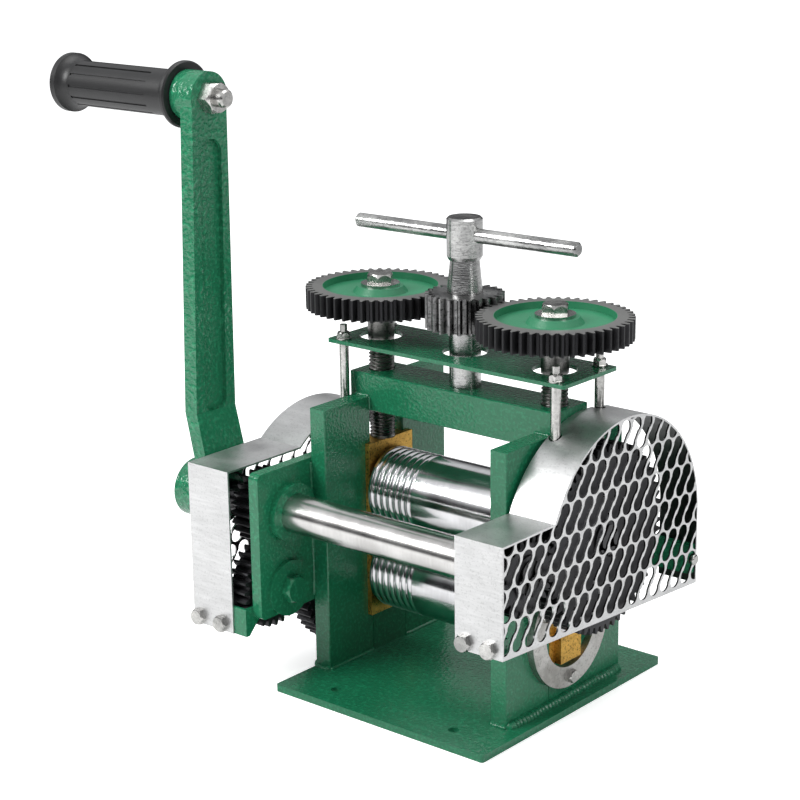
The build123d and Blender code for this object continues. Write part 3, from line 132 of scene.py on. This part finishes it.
floor_radius = 30.0
floor_glow = 0.55
floor_mesh = bmesh.new()
bmesh.ops.create_circle(floor_mesh, cap_ends=True, segments=64, radius=floor_radius)
floor = new_mesh_object("floor", floor_mesh)
floor_paint = bpy.data.materials.new("floor_paper")
floor_paint.use_nodes = True
tree = floor_paint.node_tree
sheet_bsdf = tree.nodes["Principled BSDF"]
sheet_bsdf.inputs["Base Color"].default_value = (0.93, 0.93, 0.93, 1)
sheet_bsdf.inputs["Roughness"].default_value = 0.9
sheet_bsdf.inputs["Emission Color"].default_value = (1, 1, 1, 1)
path = tree.nodes.new("ShaderNodeLightPath")
boost = tree.nodes.new("ShaderNodeMath")
boost.operation = "MULTIPLY"
boost.inputs[1].default_value = floor_glow
tree.links.new(path.outputs["Is Camera Ray"], boost.inputs[0])
tree.links.new(boost.outputs[0], sheet_bsdf.inputs["Emission Strength"])
floor.data.materials.append(floor_paint)

# ---------------------------------------------------------------------------
# Green enamel: a thick glossy coat sprayed over welded plate. It dries with a
# fine hammered relief, and pools a little darker in places.
# ---------------------------------------------------------------------------


def texture_group(name, inputs, outputs):
    """Shader group with plain float or vector inputs and float outputs."""
    group = bpy.data.node_groups.new(name, "ShaderNodeTree")
    for label, kind in inputs:
        group.interface.new_socket(label, in_out="INPUT", socket_type=kind)
    for label in outputs:
        group.interface.new_socket(label, in_out="OUTPUT", socket_type="NodeSocketFloat")
    entry = group.nodes.new("NodeGroupInput")
    leave = group.nodes.new("NodeGroupOutput")
    return group, entry, leave


def above(tree, value, low, high):
    """Soft mask of the places where a 0 to 1 value is over low, full from high."""
    ramp = tree.nodes.new("ShaderNodeValToRGB")
    ramp.color_ramp.elements[0].position = low
    ramp.color_ramp.elements[1].position = high
    tree.links.new(value, ramp.inputs["Fac"])
    return ramp.outputs["Color"]


def coat_surface_group():
    """Hammered height, a slow patchiness of colour, and a mask of the crests where a painted
    glint goes.
    """
    group, entry, leave = texture_group(
        "coat_surface",
        (("Peel Scale", "NodeSocketFloat"), ("Patch Scale", "NodeSocketFloat")),
        ("Height", "Patch", "Crest Glint"),
    )
    place = group.nodes.new("ShaderNodeTexCoord")
    peel = group.nodes.new("ShaderNodeTexNoise")
    peel.inputs["Detail"].default_value = 2.0
    peel.inputs["Roughness"].default_value = 0.45
    patch = group.nodes.new("ShaderNodeTexNoise")
    patch.inputs["Detail"].default_value = 4.0
    for texture, label in ((peel, "Peel Scale"), (patch, "Patch Scale")):
        group.links.new(place.outputs["Object"], texture.inputs["Vector"])
        group.links.new(entry.outputs[label], texture.inputs["Scale"])
    crest_glint = above(group, peel.outputs["Fac"], 0.5, 0.72)
    group.links.new(peel.outputs["Fac"], leave.inputs["Height"])
    group.links.new(patch.outputs["Fac"], leave.inputs["Patch"])
    group.links.new(crest_glint, leave.inputs["Crest Glint"])
    return group


coat_surface = coat_surface_group()


def add_group(tree, group, **values):
    """Place a shader group in a material and set its inputs."""
    node = tree.nodes.new("ShaderNodeGroup")
    node.node_tree = group
    for label, value in values.items():
        node.inputs[label.replace("_", " ").title()].default_value = value
    return node


def mix_colours(tree, factor, first, second):
    """Blend of two colours by a mask; either may be a plain tuple or a socket."""
    mix = tree.nodes.new("ShaderNodeMix")
    mix.data_type = "RGBA"
    tree.links.new(factor, mix.inputs["Factor"])
    for socket, value in (("A", first), ("B", second)):
        target = [s for s in mix.inputs if s.name == socket and s.type == "RGBA"][0]
        if isinstance(value, tuple):
            target.default_value = (*value, 1)
        else:
            tree.links.new(value, target)
    return [s for s in mix.outputs if s.type == "RGBA"][0]


def new_material(name, roughness, metallic=0.0):
    """Material with its Principled BSDF, and their tree."""
    material = bpy.data.materials.new(name)
    material.use_nodes = True
    bsdf = material.node_tree.nodes["Principled BSDF"]
    bsdf.inputs["Roughness"].default_value = roughness
    bsdf.inputs["Metallic"].default_value = metallic
    return material, bsdf, material.node_tree


def bump(tree, bsdf, height, strength, distance):
    """Surface relief from a height; distance is in metres."""
    relief = tree.nodes.new("ShaderNodeBump")
    relief.inputs["Strength"].default_value = strength
    relief.inputs["Distance"].default_value = distance
    tree.links.new(height, relief.inputs["Height"])
    tree.links.new(relief.outputs["Normal"], bsdf.inputs["Normal"])


def enamel(name, light, dark, peel_scale, strength, distance):
    """Glossy green enamel with its hammered relief; the crests get a painted glint, a brighter
    green.
    """
    material, bsdf, tree = new_material(name, roughness=0.17)
    coat = add_group(tree, coat_surface, peel_scale=peel_scale, patch_scale=14.0)
    shade = mix_colours(tree, coat.outputs["Patch"], dark, light)
    # Painted highlight: the crests of the relief are coloured brighter, as glints.
    crest = tuple(1.25 * channel for channel in light)
    tinted = mix_colours(tree, coat.outputs["Crest Glint"], shade, crest)
    tree.links.new(tinted, bsdf.inputs["Base Color"])
    bump(tree, bsdf, coat.outputs["Height"], strength, distance)
    return material


frame_enamel = enamel(
    "frame_enamel",
    light=(0.014, 0.170, 0.080),
    dark=(0.008, 0.118, 0.054),
    peel_scale=480.0,
    strength=0.5,
    distance=0.8 * mm,
)


def dress(material, *names):
    """Give CAD pieces their finish."""
    for name in names:
        for material_slot in nodes[name].material_slots:
            material_slot.material = material


# ---------------------------------------------------------------------------
# Stand: a base plate with two posts and a sill on each side, a top beam, the
# shaft brackets and the lugs, all cut from plate, welded and then enamelled.
# The idler's bolt and washer and the shaft's bushes are painted over with it.
# ---------------------------------------------------------------------------
dress(
    frame_enamel,
    "base_plate",
    "left_front_post",
    "left_rear_post",
    "right_front_post",
    "right_rear_post",
    "sills",
    "top_beam",
    "left_bracket",
    "right_bracket",
    "left_front_lug",
    "right_front_lug",
    "rear_straps",
    "idler_bolt",
    "idler_washer",
    "shaft_bushes",
)

# ---------------------------------------------------------------------------
# Weld beads where the posts stand on the base plate and where the beam and the
# brackets meet the posts. They are enamelled over with the rest of the stand.
# ---------------------------------------------------------------------------


def box_mm(name):
    """Lowest and highest corner of a CAD piece, in millimetres."""
    return [Vector(corner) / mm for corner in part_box(name)]


def ringed_skin(bm, rings):
    """Closed skin through rings of points, capped at both ends."""
    loops = [[bm.verts.new(point) for point in ring] for ring in rings]
    for lower, upper in zip(loops, loops[1:]):
        for index in range(len(lower)):
            after = (index + 1) % len(lower)
            bm.faces.new((lower[index], lower[after], upper[after], upper[index]))
    bm.faces.new(list(reversed(loops[0])))
    bm.faces.new(loops[-1])


bead_sides = 16
bead_step = 0.45
ripple_share = 0.75  # length of one ripple, as a share of the bead's radius
ripple_low, ripple_rise = 0.84, 0.18
bead_drift, drift_scale = 0.15, 120.0
closed_end = 0.02


def weld_bead(bm, start, end, radius):
    """Rippled bead of weld laid in the corner from start to end, in millimetres."""
    start, end = Vector(start) * mm, Vector(end) * mm
    along = (end - start).normalized()
    across = along.orthogonal().normalized()
    up = along.cross(across)
    length = (end - start).length
    ripple = ripple_share * radius * mm
    steps = max(8, round(length / (bead_step * mm)))
    rings = []
    for step in range(steps + 1):
        run = length * step / steps
        crest = 1 - abs(2 * ((run / ripple) % 1.0) - 1)
        closing = min(1.0, min(run, length - run) / (radius * mm))
        taper = math.sqrt(max(closed_end, closing * (2 - closing)))
        size = radius * mm * (ripple_low + ripple_rise * crest) * taper
        drift = bead_drift * radius * mm * noise.noise((start + along * run) * drift_scale)
        centre = start + along * run + (across + up) * drift
        rings.append(
            [
                centre
                + across * size * math.cos(2 * math.pi * side / bead_sides)
                + up * size * math.sin(2 * math.pi * side / bead_sides)
                for side in range(bead_sides)
            ]
        )
    ringed_skin(bm, rings)


foot_outer_bead, foot_front_bead, foot_rear_bead, foot_inner_bead = 4.6, 2.4, 2.2, 2.0
beam_top_bead, beam_outer_bead, beam_inner_bead = 1.8, 1.6, 1.4
bracket_bead, bracket_bead_inset = 1.6, 3
post_low, post_high = box_mm("right_front_post")
outer_x, inner_x, front_y, slot_y = post_high.x, post_low.x, post_low.y, post_high.y
foot_z, beam_z = post_low.z, box_mm("top_beam")[0].z
welds = bmesh.new()
for side, prefix in ((-1, "left"), (1, "right")):
    bracket_low, bracket_high = box_mm(prefix + "_bracket")
    rear_top = box_mm(prefix + "_rear_post")[1].z
    outside, inside = side * outer_x, side * inner_x
    for start, end, radius in (
        ((outside, front_y), (outside, -front_y), foot_outer_bead),
        ((outside, front_y), (inside, front_y), foot_front_bead),
        ((outside, -front_y), (inside, -front_y), foot_rear_bead),
        ((inside, front_y), (inside, slot_y), foot_inner_bead),
        ((inside, -slot_y), (inside, -front_y), foot_inner_bead),
    ):
        weld_bead(welds, (*start, foot_z), (*end, foot_z), radius)
    for y, top in ((slot_y, post_high.z), (-slot_y, rear_top)):
        weld_bead(welds, (inside, y, top), (outside, y, top), beam_top_bead)
        weld_bead(welds, (outside, y, beam_z), (outside, y, top), beam_outer_bead)
        weld_bead(welds, (inside, y, beam_z), (inside, y, top), beam_inner_bead)
    for y in (front_y, bracket_high.y):
        weld_bead(
            welds,
            (outside, y, bracket_low.z + bracket_bead_inset),
            (outside, y, bracket_high.z - bracket_bead_inset),
            bracket_bead,
        )
bmesh.ops.recalc_face_normals(welds, faces=welds.faces)
for face in welds.faces:
    face.smooth = True
weld_beads = new_mesh_object("weld_beads", welds)
weld_beads.data.materials.append(frame_enamel)
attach(weld_beads, "frame")

# ---------------------------------------------------------------------------
# Guide plate above the beam, of sheet with the same enamel, carried on the
# four studs.
# ---------------------------------------------------------------------------
dress(frame_enamel, "top_plate")

# ---------------------------------------------------------------------------
# Crank arm: a rough iron casting under a coarser, hammered green enamel,
# bolted to the end of the front shaft.
# ---------------------------------------------------------------------------
crank_enamel = enamel(
    "crank_enamel",
    light=(0.018, 0.190, 0.090),
    dark=(0.009, 0.118, 0.055),
    peel_scale=330.0,
    strength=0.75,
    distance=1.4 * mm,
)
dress(crank_enamel, "crank_arm")

# ---------------------------------------------------------------------------
# Rollers and front shaft: hardened steel, ground and polished, with very fine
# rings left by the wheel. Their ends among the gears are black with oil.
# ---------------------------------------------------------------------------


def fine_lines_group():
    """Fine streaks across one axis, clouds and pits: Stretch sets how tight the
    streaks lie along x, y and z."""
    group, entry, leave = texture_group(
        "fine_lines",
        (("Stretch", "NodeSocketVector"), ("Scale", "NodeSocketFloat")),
        ("Streak", "Cloud", "Pit"),
    )
    place = group.nodes.new("ShaderNodeTexCoord")
    squeeze = group.nodes.new("ShaderNodeVectorMath")
    squeeze.operation = "MULTIPLY"
    group.links.new(place.outputs["Object"], squeeze.inputs[0])
    group.links.new(entry.outputs["Stretch"], squeeze.inputs[1])
    streak = group.nodes.new("ShaderNodeTexNoise")
    streak.inputs["Detail"].default_value = 3.0
    group.links.new(squeeze.outputs[0], streak.inputs["Vector"])
    group.links.new(entry.outputs["Scale"], streak.inputs["Scale"])
    cloud = group.nodes.new("ShaderNodeTexNoise")
    cloud.inputs["Scale"].default_value = 40.0
    cloud.inputs["Detail"].default_value = 5.0
    pit = group.nodes.new("ShaderNodeTexNoise")
    pit.inputs["Scale"].default_value = 700.0
    pit.inputs["Detail"].default_value = 3.0
    for texture in (cloud, pit):
        group.links.new(place.outputs["Object"], texture.inputs["Vector"])
    group.links.new(streak.outputs["Fac"], leave.inputs["Streak"])
    group.links.new(cloud.outputs["Fac"], leave.inputs["Cloud"])
    group.links.new(above(group, pit.outputs["Fac"], 0.54, 0.66), leave.inputs["Pit"])
    return group


fine_lines = fine_lines_group()


def spread(tree, value, low, high):
    """Map the middle of a 0 to 1 value to a range."""
    node = tree.nodes.new("ShaderNodeMapRange")
    node.inputs["From Min"].default_value = 0.3
    node.inputs["From Max"].default_value = 0.7
    node.inputs["To Min"].default_value = low
    node.inputs["To Max"].default_value = high
    tree.links.new(value, node.inputs["Value"])
    return node.outputs["Result"]


def calculate(tree, operation, value, other=None):
    """Result of one maths node on a socket and a plain number."""
    node = tree.nodes.new("ShaderNodeMath")
    node.operation = operation
    tree.links.new(value, node.inputs[0])
    if other is not None:
        node.inputs[1].default_value = other
    return node


oil_black = (0.05, 0.05, 0.052)


def streaked_metal(name, light, dark, rough, stretch, scale, relief, pitted=0.0, oiled_from=None):
    """Bare or plated metal with fine streaks, a cloudy sheen and dark pits. Beyond
    oiled_from, on either side of the mill, it is black with gear oil."""
    material, bsdf, tree = new_material(name, sum(rough) / 2, metallic=1.0)
    lines = add_group(tree, fine_lines, stretch=stretch, scale=scale)
    sheen = calculate(tree, "MULTIPLY_ADD", lines.outputs["Streak"], 0.5)
    tree.links.new(spread(tree, lines.outputs["Cloud"], 0.0, 0.5), sheen.inputs[2])
    shade = mix_colours(tree, spread(tree, sheen.outputs[0], 0.0, 1.0), dark, light)
    if pitted:
        mask = calculate(tree, "MULTIPLY", lines.outputs["Pit"], pitted)
        pit_colour = tuple(0.35 * channel for channel in dark)
        shade = mix_colours(tree, mask.outputs[0], shade, pit_colour)
    if oiled_from:
        place = tree.nodes.new("ShaderNodeTexCoord")
        split = tree.nodes.new("ShaderNodeSeparateXYZ")
        tree.links.new(place.outputs["Object"], split.inputs[0])
        distance = calculate(tree, "ABSOLUTE", split.outputs["X"])
        beyond = calculate(tree, "GREATER_THAN", distance.outputs[0], oiled_from)
        shade = mix_colours(tree, beyond.outputs[0], shade, oil_black)
    tree.links.new(shade, bsdf.inputs["Base Color"])
    tree.links.new(spread(tree, lines.outputs["Cloud"], *rough), bsdf.inputs["Roughness"])
    bump(tree, bsdf, lines.outputs["Streak"], 0.5, relief)
    return material


roller_steel = streaked_metal(
    "roller_steel",
    light=(0.72, 0.72, 0.73),
    dark=(0.50, 0.50, 0.51),
    rough=(0.09, 0.18),
    stretch=(60, 1, 1),
    scale=40.0,
    relief=0.01 * mm,
    oiled_from=88 * mm,
)
dress(roller_steel, "lower_roller", "upper_roller")
shaft_steel = streaked_metal(
    "shaft_steel",
    light=(0.66, 0.65, 0.64),
    dark=(0.48, 0.47, 0.46),
    rough=(0.16, 0.26),
    stretch=(60, 1, 1),
    scale=30.0,
    relief=0.01 * mm,
    oiled_from=91 * mm,
)
dress(shaft_steel, "front_shaft")

# ---------------------------------------------------------------------------
# Bearings: rough machined brass blocks that slide between the posts, and the
# thrust washers between them and the rollers.
# ---------------------------------------------------------------------------
bearing_brass = streaked_metal(
    "bearing_brass",
    light=(0.74, 0.46, 0.11),
    dark=(0.40, 0.23, 0.05),
    rough=(0.35, 0.6),
    stretch=(1, 1, 3),
    scale=260.0,
    relief=0.3 * mm,
    pitted=0.8,
)
dress(
    bearing_brass,
    "left_lower_block",
    "right_lower_block",
    "left_upper_block",
    "right_upper_block",
    "lower_thrust_washers",
    "upper_thrust_washers",
)

# ---------------------------------------------------------------------------
# Driving gears: cut steel, blackened and oiled. The idler's sleeve and the
# keys and circlips that hold the gears are dark with the same oil.
# ---------------------------------------------------------------------------
gear_black, bsdf, tree = new_material("gear_black", roughness=0.42, metallic=0.75)
lines = add_group(tree, fine_lines, stretch=(1, 1, 1), scale=300.0)
shade = mix_colours(tree, lines.outputs["Cloud"], (0.02, 0.02, 0.022), (0.06, 0.06, 0.065))
tree.links.new(shade, bsdf.inputs["Base Color"])
bump(tree, bsdf, lines.outputs["Streak"], 0.4, 0.1 * mm)
dress(
    gear_black,
    "left_drive_gear",
    "right_drive_pinion",
    "idler_gear",
    "lower_roller_gear",
    "upper_roller_gear",
    "idler_sleeve",
    "shaft_keys_and_clips",
    "lower_gear_key_and_clip",
    "upper_gear_key_and_clip",
)

# ---------------------------------------------------------------------------
# Screw gears: cast, with blackened teeth, a greyish rim and a green painted
# web and hub, clamped on the pressure screws by their top bolts.
# ---------------------------------------------------------------------------
gear_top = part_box("right_screw_gear")[1][2]
rim_recess_r = 38.5 * mm
recess_margin, top_margin = 0.2 * mm, 0.3 * mm


def screw_gear_finish(name, centre_x):
    """Green inside the recess, grey on the rim's top and black on the teeth."""
    material, bsdf, tree = new_material(name, roughness=0.4)
    place = tree.nodes.new("ShaderNodeTexCoord")
    shift = tree.nodes.new("ShaderNodeVectorMath")
    shift.operation = "SUBTRACT"
    shift.inputs[1].default_value = (centre_x, 0, 0)
    tree.links.new(place.outputs["Object"], shift.inputs[0])
    flat = tree.nodes.new("ShaderNodeVectorMath")
    flat.operation = "MULTIPLY"
    flat.inputs[1].default_value = (1, 1, 0)
    tree.links.new(shift.outputs[0], flat.inputs[0])
    radius = tree.nodes.new("ShaderNodeVectorMath")
    radius.operation = "LENGTH"
    tree.links.new(flat.outputs[0], radius.inputs[0])
    recess_edge = rim_recess_r + recess_margin
    outside = calculate(tree, "GREATER_THAN", radius.outputs["Value"], recess_edge)
    height = tree.nodes.new("ShaderNodeSeparateXYZ")
    tree.links.new(place.outputs["Object"], height.inputs[0])
    on_top = calculate(tree, "GREATER_THAN", height.outputs["Z"], gear_top - top_margin)
    coat = add_group(tree, coat_surface, peel_scale=600.0, patch_scale=20.0)
    patch = coat.outputs["Patch"]
    green = mix_colours(tree, patch, (0.018, 0.16, 0.075), (0.035, 0.25, 0.125))
    black = mix_colours(tree, patch, (0.012, 0.012, 0.013), (0.035, 0.035, 0.038))
    grey = mix_colours(tree, patch, (0.13, 0.13, 0.13), (0.30, 0.30, 0.29))
    rim = mix_colours(tree, on_top.outputs[0], black, grey)
    shade = mix_colours(tree, outside.outputs[0], green, rim)
    tree.links.new(shade, bsdf.inputs["Base Color"])
    metal = calculate(tree, "MULTIPLY", outside.outputs[0], 0.7)
    tree.links.new(metal.outputs[0], bsdf.inputs["Metallic"])
    bump(tree, bsdf, coat.outputs["Height"], 0.4, 0.3 * mm)
    return material


screw_x = sum(corner[0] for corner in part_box("right_pressure_screw")) / 2
dress(screw_gear_finish("left_screw_gear_finish", -screw_x), "left_screw_gear")
dress(screw_gear_finish("right_screw_gear_finish", screw_x), "right_screw_gear")

# ---------------------------------------------------------------------------
# Pressure screws: dark turned steel, threaded through the beam, with a grooved
# spigot in the bearing block and a plain neck under the gear.
# ---------------------------------------------------------------------------
screw_steel = streaked_metal(
    "screw_steel",
    light=(0.30, 0.29, 0.28),
    dark=(0.09, 0.09, 0.09),
    rough=(0.22, 0.4),
    stretch=(1, 1, 20),
    scale=90.0,
    relief=0.1 * mm,
    pitted=0.5,
)
dress(screw_steel, "screw_pins")

shaft_sides = 72
steps_a_turn = 8


def turned_shaft(name, centre, profile, threads):
    """Turned vertical shaft through (radius, height) points, in millimetres; threads
    maps a point's index to the pitch and depth of the thread from there to the next."""
    rings = []
    for index, ((r, z), (next_r, next_z)) in enumerate(zip(profile, profile[1:])):
        pitch, depth = threads.get(index, (0, 0))
        steps = round(abs(next_z - z) / pitch * steps_a_turn) if pitch else 1
        last = index == len(profile) - 2
        for step in range(steps + last):
            share = step / steps
            height = z + (next_z - z) * share
            ring = []
            for corner in range(shaft_sides):
                turn = corner / shaft_sides
                radius = r + (next_r - r) * share
                if pitch:
                    from_end = min(share, 1 - share) * steps / steps_a_turn
                    groove = 1 - abs(2 * ((height / pitch - turn) % 1.0) - 1)
                    radius -= depth * min(1.0, from_end) * groove
                angle = 2 * math.pi * turn
                ring.append(
                    (
                        (centre[0] + radius * math.cos(angle)) * mm,
                        (centre[1] + radius * math.sin(angle)) * mm,
                        height * mm,
                    )
                )
            rings.append(ring)
    bm = bmesh.new()
    ringed_skin(bm, rings)
    bmesh.ops.recalc_face_normals(bm, faces=bm.faces)
    return new_mesh_object(name, bm)


thread_r, neck_r, undercut_r = 8.75, 9.0, 7.5
spigot_r, spigot_groove_r = 6.5, 5.0
gear_seat_r, bolt_hole_r = 7.0, 5.0
spigot_groove_from, spigot_groove_to = 4.8, 8.0
thread_end_z, undercut_from_z, undercut_to_z = 221.5, 222.5, 224.5
thread_pitch, thread_depth = 2.5, 1.3
for side in ("left", "right"):
    screw_low, screw_high = box_mm(side + "_pressure_screw")
    gear_foot = box_mm(side + "_screw_gear")[0].z
    block_top = box_mm(side + "_upper_block")[1].z
    bolt_foot = box_mm(side + "_top_bolt_and_washer")[0].z
    middle = (screw_low + screw_high) / 2
    profile = (
        (spigot_r, screw_low.z),
        (spigot_r, screw_low.z + spigot_groove_from),
        (spigot_groove_r, screw_low.z + spigot_groove_from),
        (spigot_groove_r, screw_low.z + spigot_groove_to),
        (spigot_r, screw_low.z + spigot_groove_to),
        (spigot_r, block_top),
        (thread_r, block_top),
        (thread_r, thread_end_z),
        (undercut_r, undercut_from_z),
        (undercut_r, undercut_to_z),
        (neck_r, undercut_to_z),
        (neck_r, gear_foot),
        (gear_seat_r, gear_foot),
        (gear_seat_r, screw_high.z),
        (bolt_hole_r, screw_high.z),
        (bolt_hole_r, bolt_foot),
    )
    thread_start = profile.index((thread_r, block_top))
    screw = turned_shaft(
        side + "_threaded_screw",
        (middle.x, middle.y),
        profile,
        {thread_start: (thread_pitch, thread_depth)},
    )
    screw.data.materials.append(screw_steel)
    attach(screw, side + "_screw")
    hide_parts(side + "_pressure_screw")

# ---------------------------------------------------------------------------
# T handle: a turned steel spindle with a milled pinion and a plain cross bar,
# dull zinc plated.
# ---------------------------------------------------------------------------
handle_steel = streaked_metal(
    "handle_steel",
    light=(0.58, 0.58, 0.57),
    dark=(0.26, 0.26, 0.26),
    rough=(0.15, 0.30),
    stretch=(1, 1, 5),
    scale=200.0,
    relief=0.3 * mm,
    pitted=0.45,
)
dress(handle_steel, "t_spindle", "t_bar")
pinion_steel = streaked_metal(
    "pinion_steel",
    light=(0.34, 0.34, 0.34),
    dark=(0.11, 0.11, 0.11),
    rough=(0.2, 0.4),
    stretch=(1, 1, 1),
    scale=300.0,
    relief=0.3 * mm,
    pitted=0.8,
)
dress(pinion_steel, "t_pinion")

# ---------------------------------------------------------------------------
# Fasteners: bright zinc plated bolts, nuts, washers and studs, which hold the
# covers, the gears, the guide plate, the crank and the grip.
# ---------------------------------------------------------------------------
zinc_plate = streaked_metal(
    "zinc_plate",
    light=(0.66, 0.65, 0.63),
    dark=(0.30, 0.30, 0.29),
    rough=(0.14, 0.30),
    stretch=(1, 1, 1),
    scale=300.0,
    relief=0.2 * mm,
    pitted=0.3,
)
dress(
    zinc_plate,
    "ring_screws",
    "idler_nut_and_washer",
    "cover_screws",
    "plate_studs",
    "stud_nuts_and_washers",
    "left_top_bolt_and_washer",
    "right_top_bolt_and_washer",
    "crank_end_bolt_and_washer",
    "grip_bolt",
    "grip_nut",
    "spindle_lock_screw",
)

# ---------------------------------------------------------------------------
# Retaining rings: cut from plate, with a dull, rougher zinc plating, screwed
# to the outer faces of the stand.
# ---------------------------------------------------------------------------
ring_zinc = streaked_metal(
    "ring_zinc",
    light=(0.60, 0.59, 0.57),
    dark=(0.36, 0.35, 0.33),
    rough=(0.32, 0.5),
    stretch=(1, 1, 1),
    scale=200.0,
    relief=0.2 * mm,
    pitted=0.4,
)
dress(ring_zinc, "retaining_rings")

# ---------------------------------------------------------------------------
# Covers: galvanised sheet, folded round the gears and brushed bright, with a
# perforated panel spot welded on the outside.
# ---------------------------------------------------------------------------


def cover_sheet(name, middle):
    """Bright brushed zinc outside; the faces turned to the gears are painted near black, as
    shade.
    """
    material, bsdf, tree = new_material(name, roughness=0.4, metallic=1.0)
    lines = add_group(tree, fine_lines, stretch=(1, 1, 9), scale=70.0)
    streak = lines.outputs["Streak"]
    shade = mix_colours(tree, streak, (0.50, 0.50, 0.50), (0.74, 0.74, 0.74))
    faint = spread(tree, lines.outputs["Pit"], 0.0, 0.22)
    worn = mix_colours(tree, faint, shade, (0.24, 0.24, 0.24))
    place = tree.nodes.new("ShaderNodeTexCoord")
    arm = tree.nodes.new("ShaderNodeVectorMath")
    arm.operation = "SUBTRACT"
    arm.inputs[1].default_value = middle
    tree.links.new(place.outputs["Object"], arm.inputs[0])
    surface = tree.nodes.new("ShaderNodeNewGeometry")
    facing = tree.nodes.new("ShaderNodeVectorMath")
    facing.operation = "DOT_PRODUCT"
    tree.links.new(arm.outputs[0], facing.inputs[0])
    tree.links.new(surface.outputs["True Normal"], facing.inputs[1])
    # Painted shade: the faces turned towards the middle of the cover are coloured near black.
    inside = calculate(tree, "LESS_THAN", facing.outputs["Value"], 0.0)
    painted_inside_shade = mix_colours(tree, inside.outputs[0], worn, (0.045, 0.045, 0.045))
    tree.links.new(painted_inside_shade, bsdf.inputs["Base Color"])
    tree.links.new(spread(tree, lines.outputs["Cloud"], 0.3, 0.5), bsdf.inputs["Roughness"])
    bump(tree, bsdf, streak, 0.5, 0.1 * mm)
    return material


for side in ("left", "right"):
    low, high = (Vector(corner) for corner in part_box(side + "_cover_strip"))
    dress(
        cover_sheet(side + "_cover_sheet", (low + high) / 2),
        side + "_cover_strip",
        side + "_cover_panel",
    )

# ---------------------------------------------------------------------------
# Grip: moulded black rubber, grooved lengthwise, free to turn on its bolt at
# the end of the crank arm.
# ---------------------------------------------------------------------------
grip_rubber, bsdf, tree = new_material("grip_rubber", roughness=0.42)
surface = add_group(tree, coat_surface, peel_scale=900.0, patch_scale=60.0)
patch = surface.outputs["Patch"]
shade = mix_colours(tree, patch, (0.004, 0.004, 0.0045), (0.014, 0.014, 0.015))
tree.links.new(shade, bsdf.inputs["Base Color"])
bump(tree, bsdf, surface.outputs["Height"], 0.3, 0.2 * mm)
dress(grip_rubber, "grip")
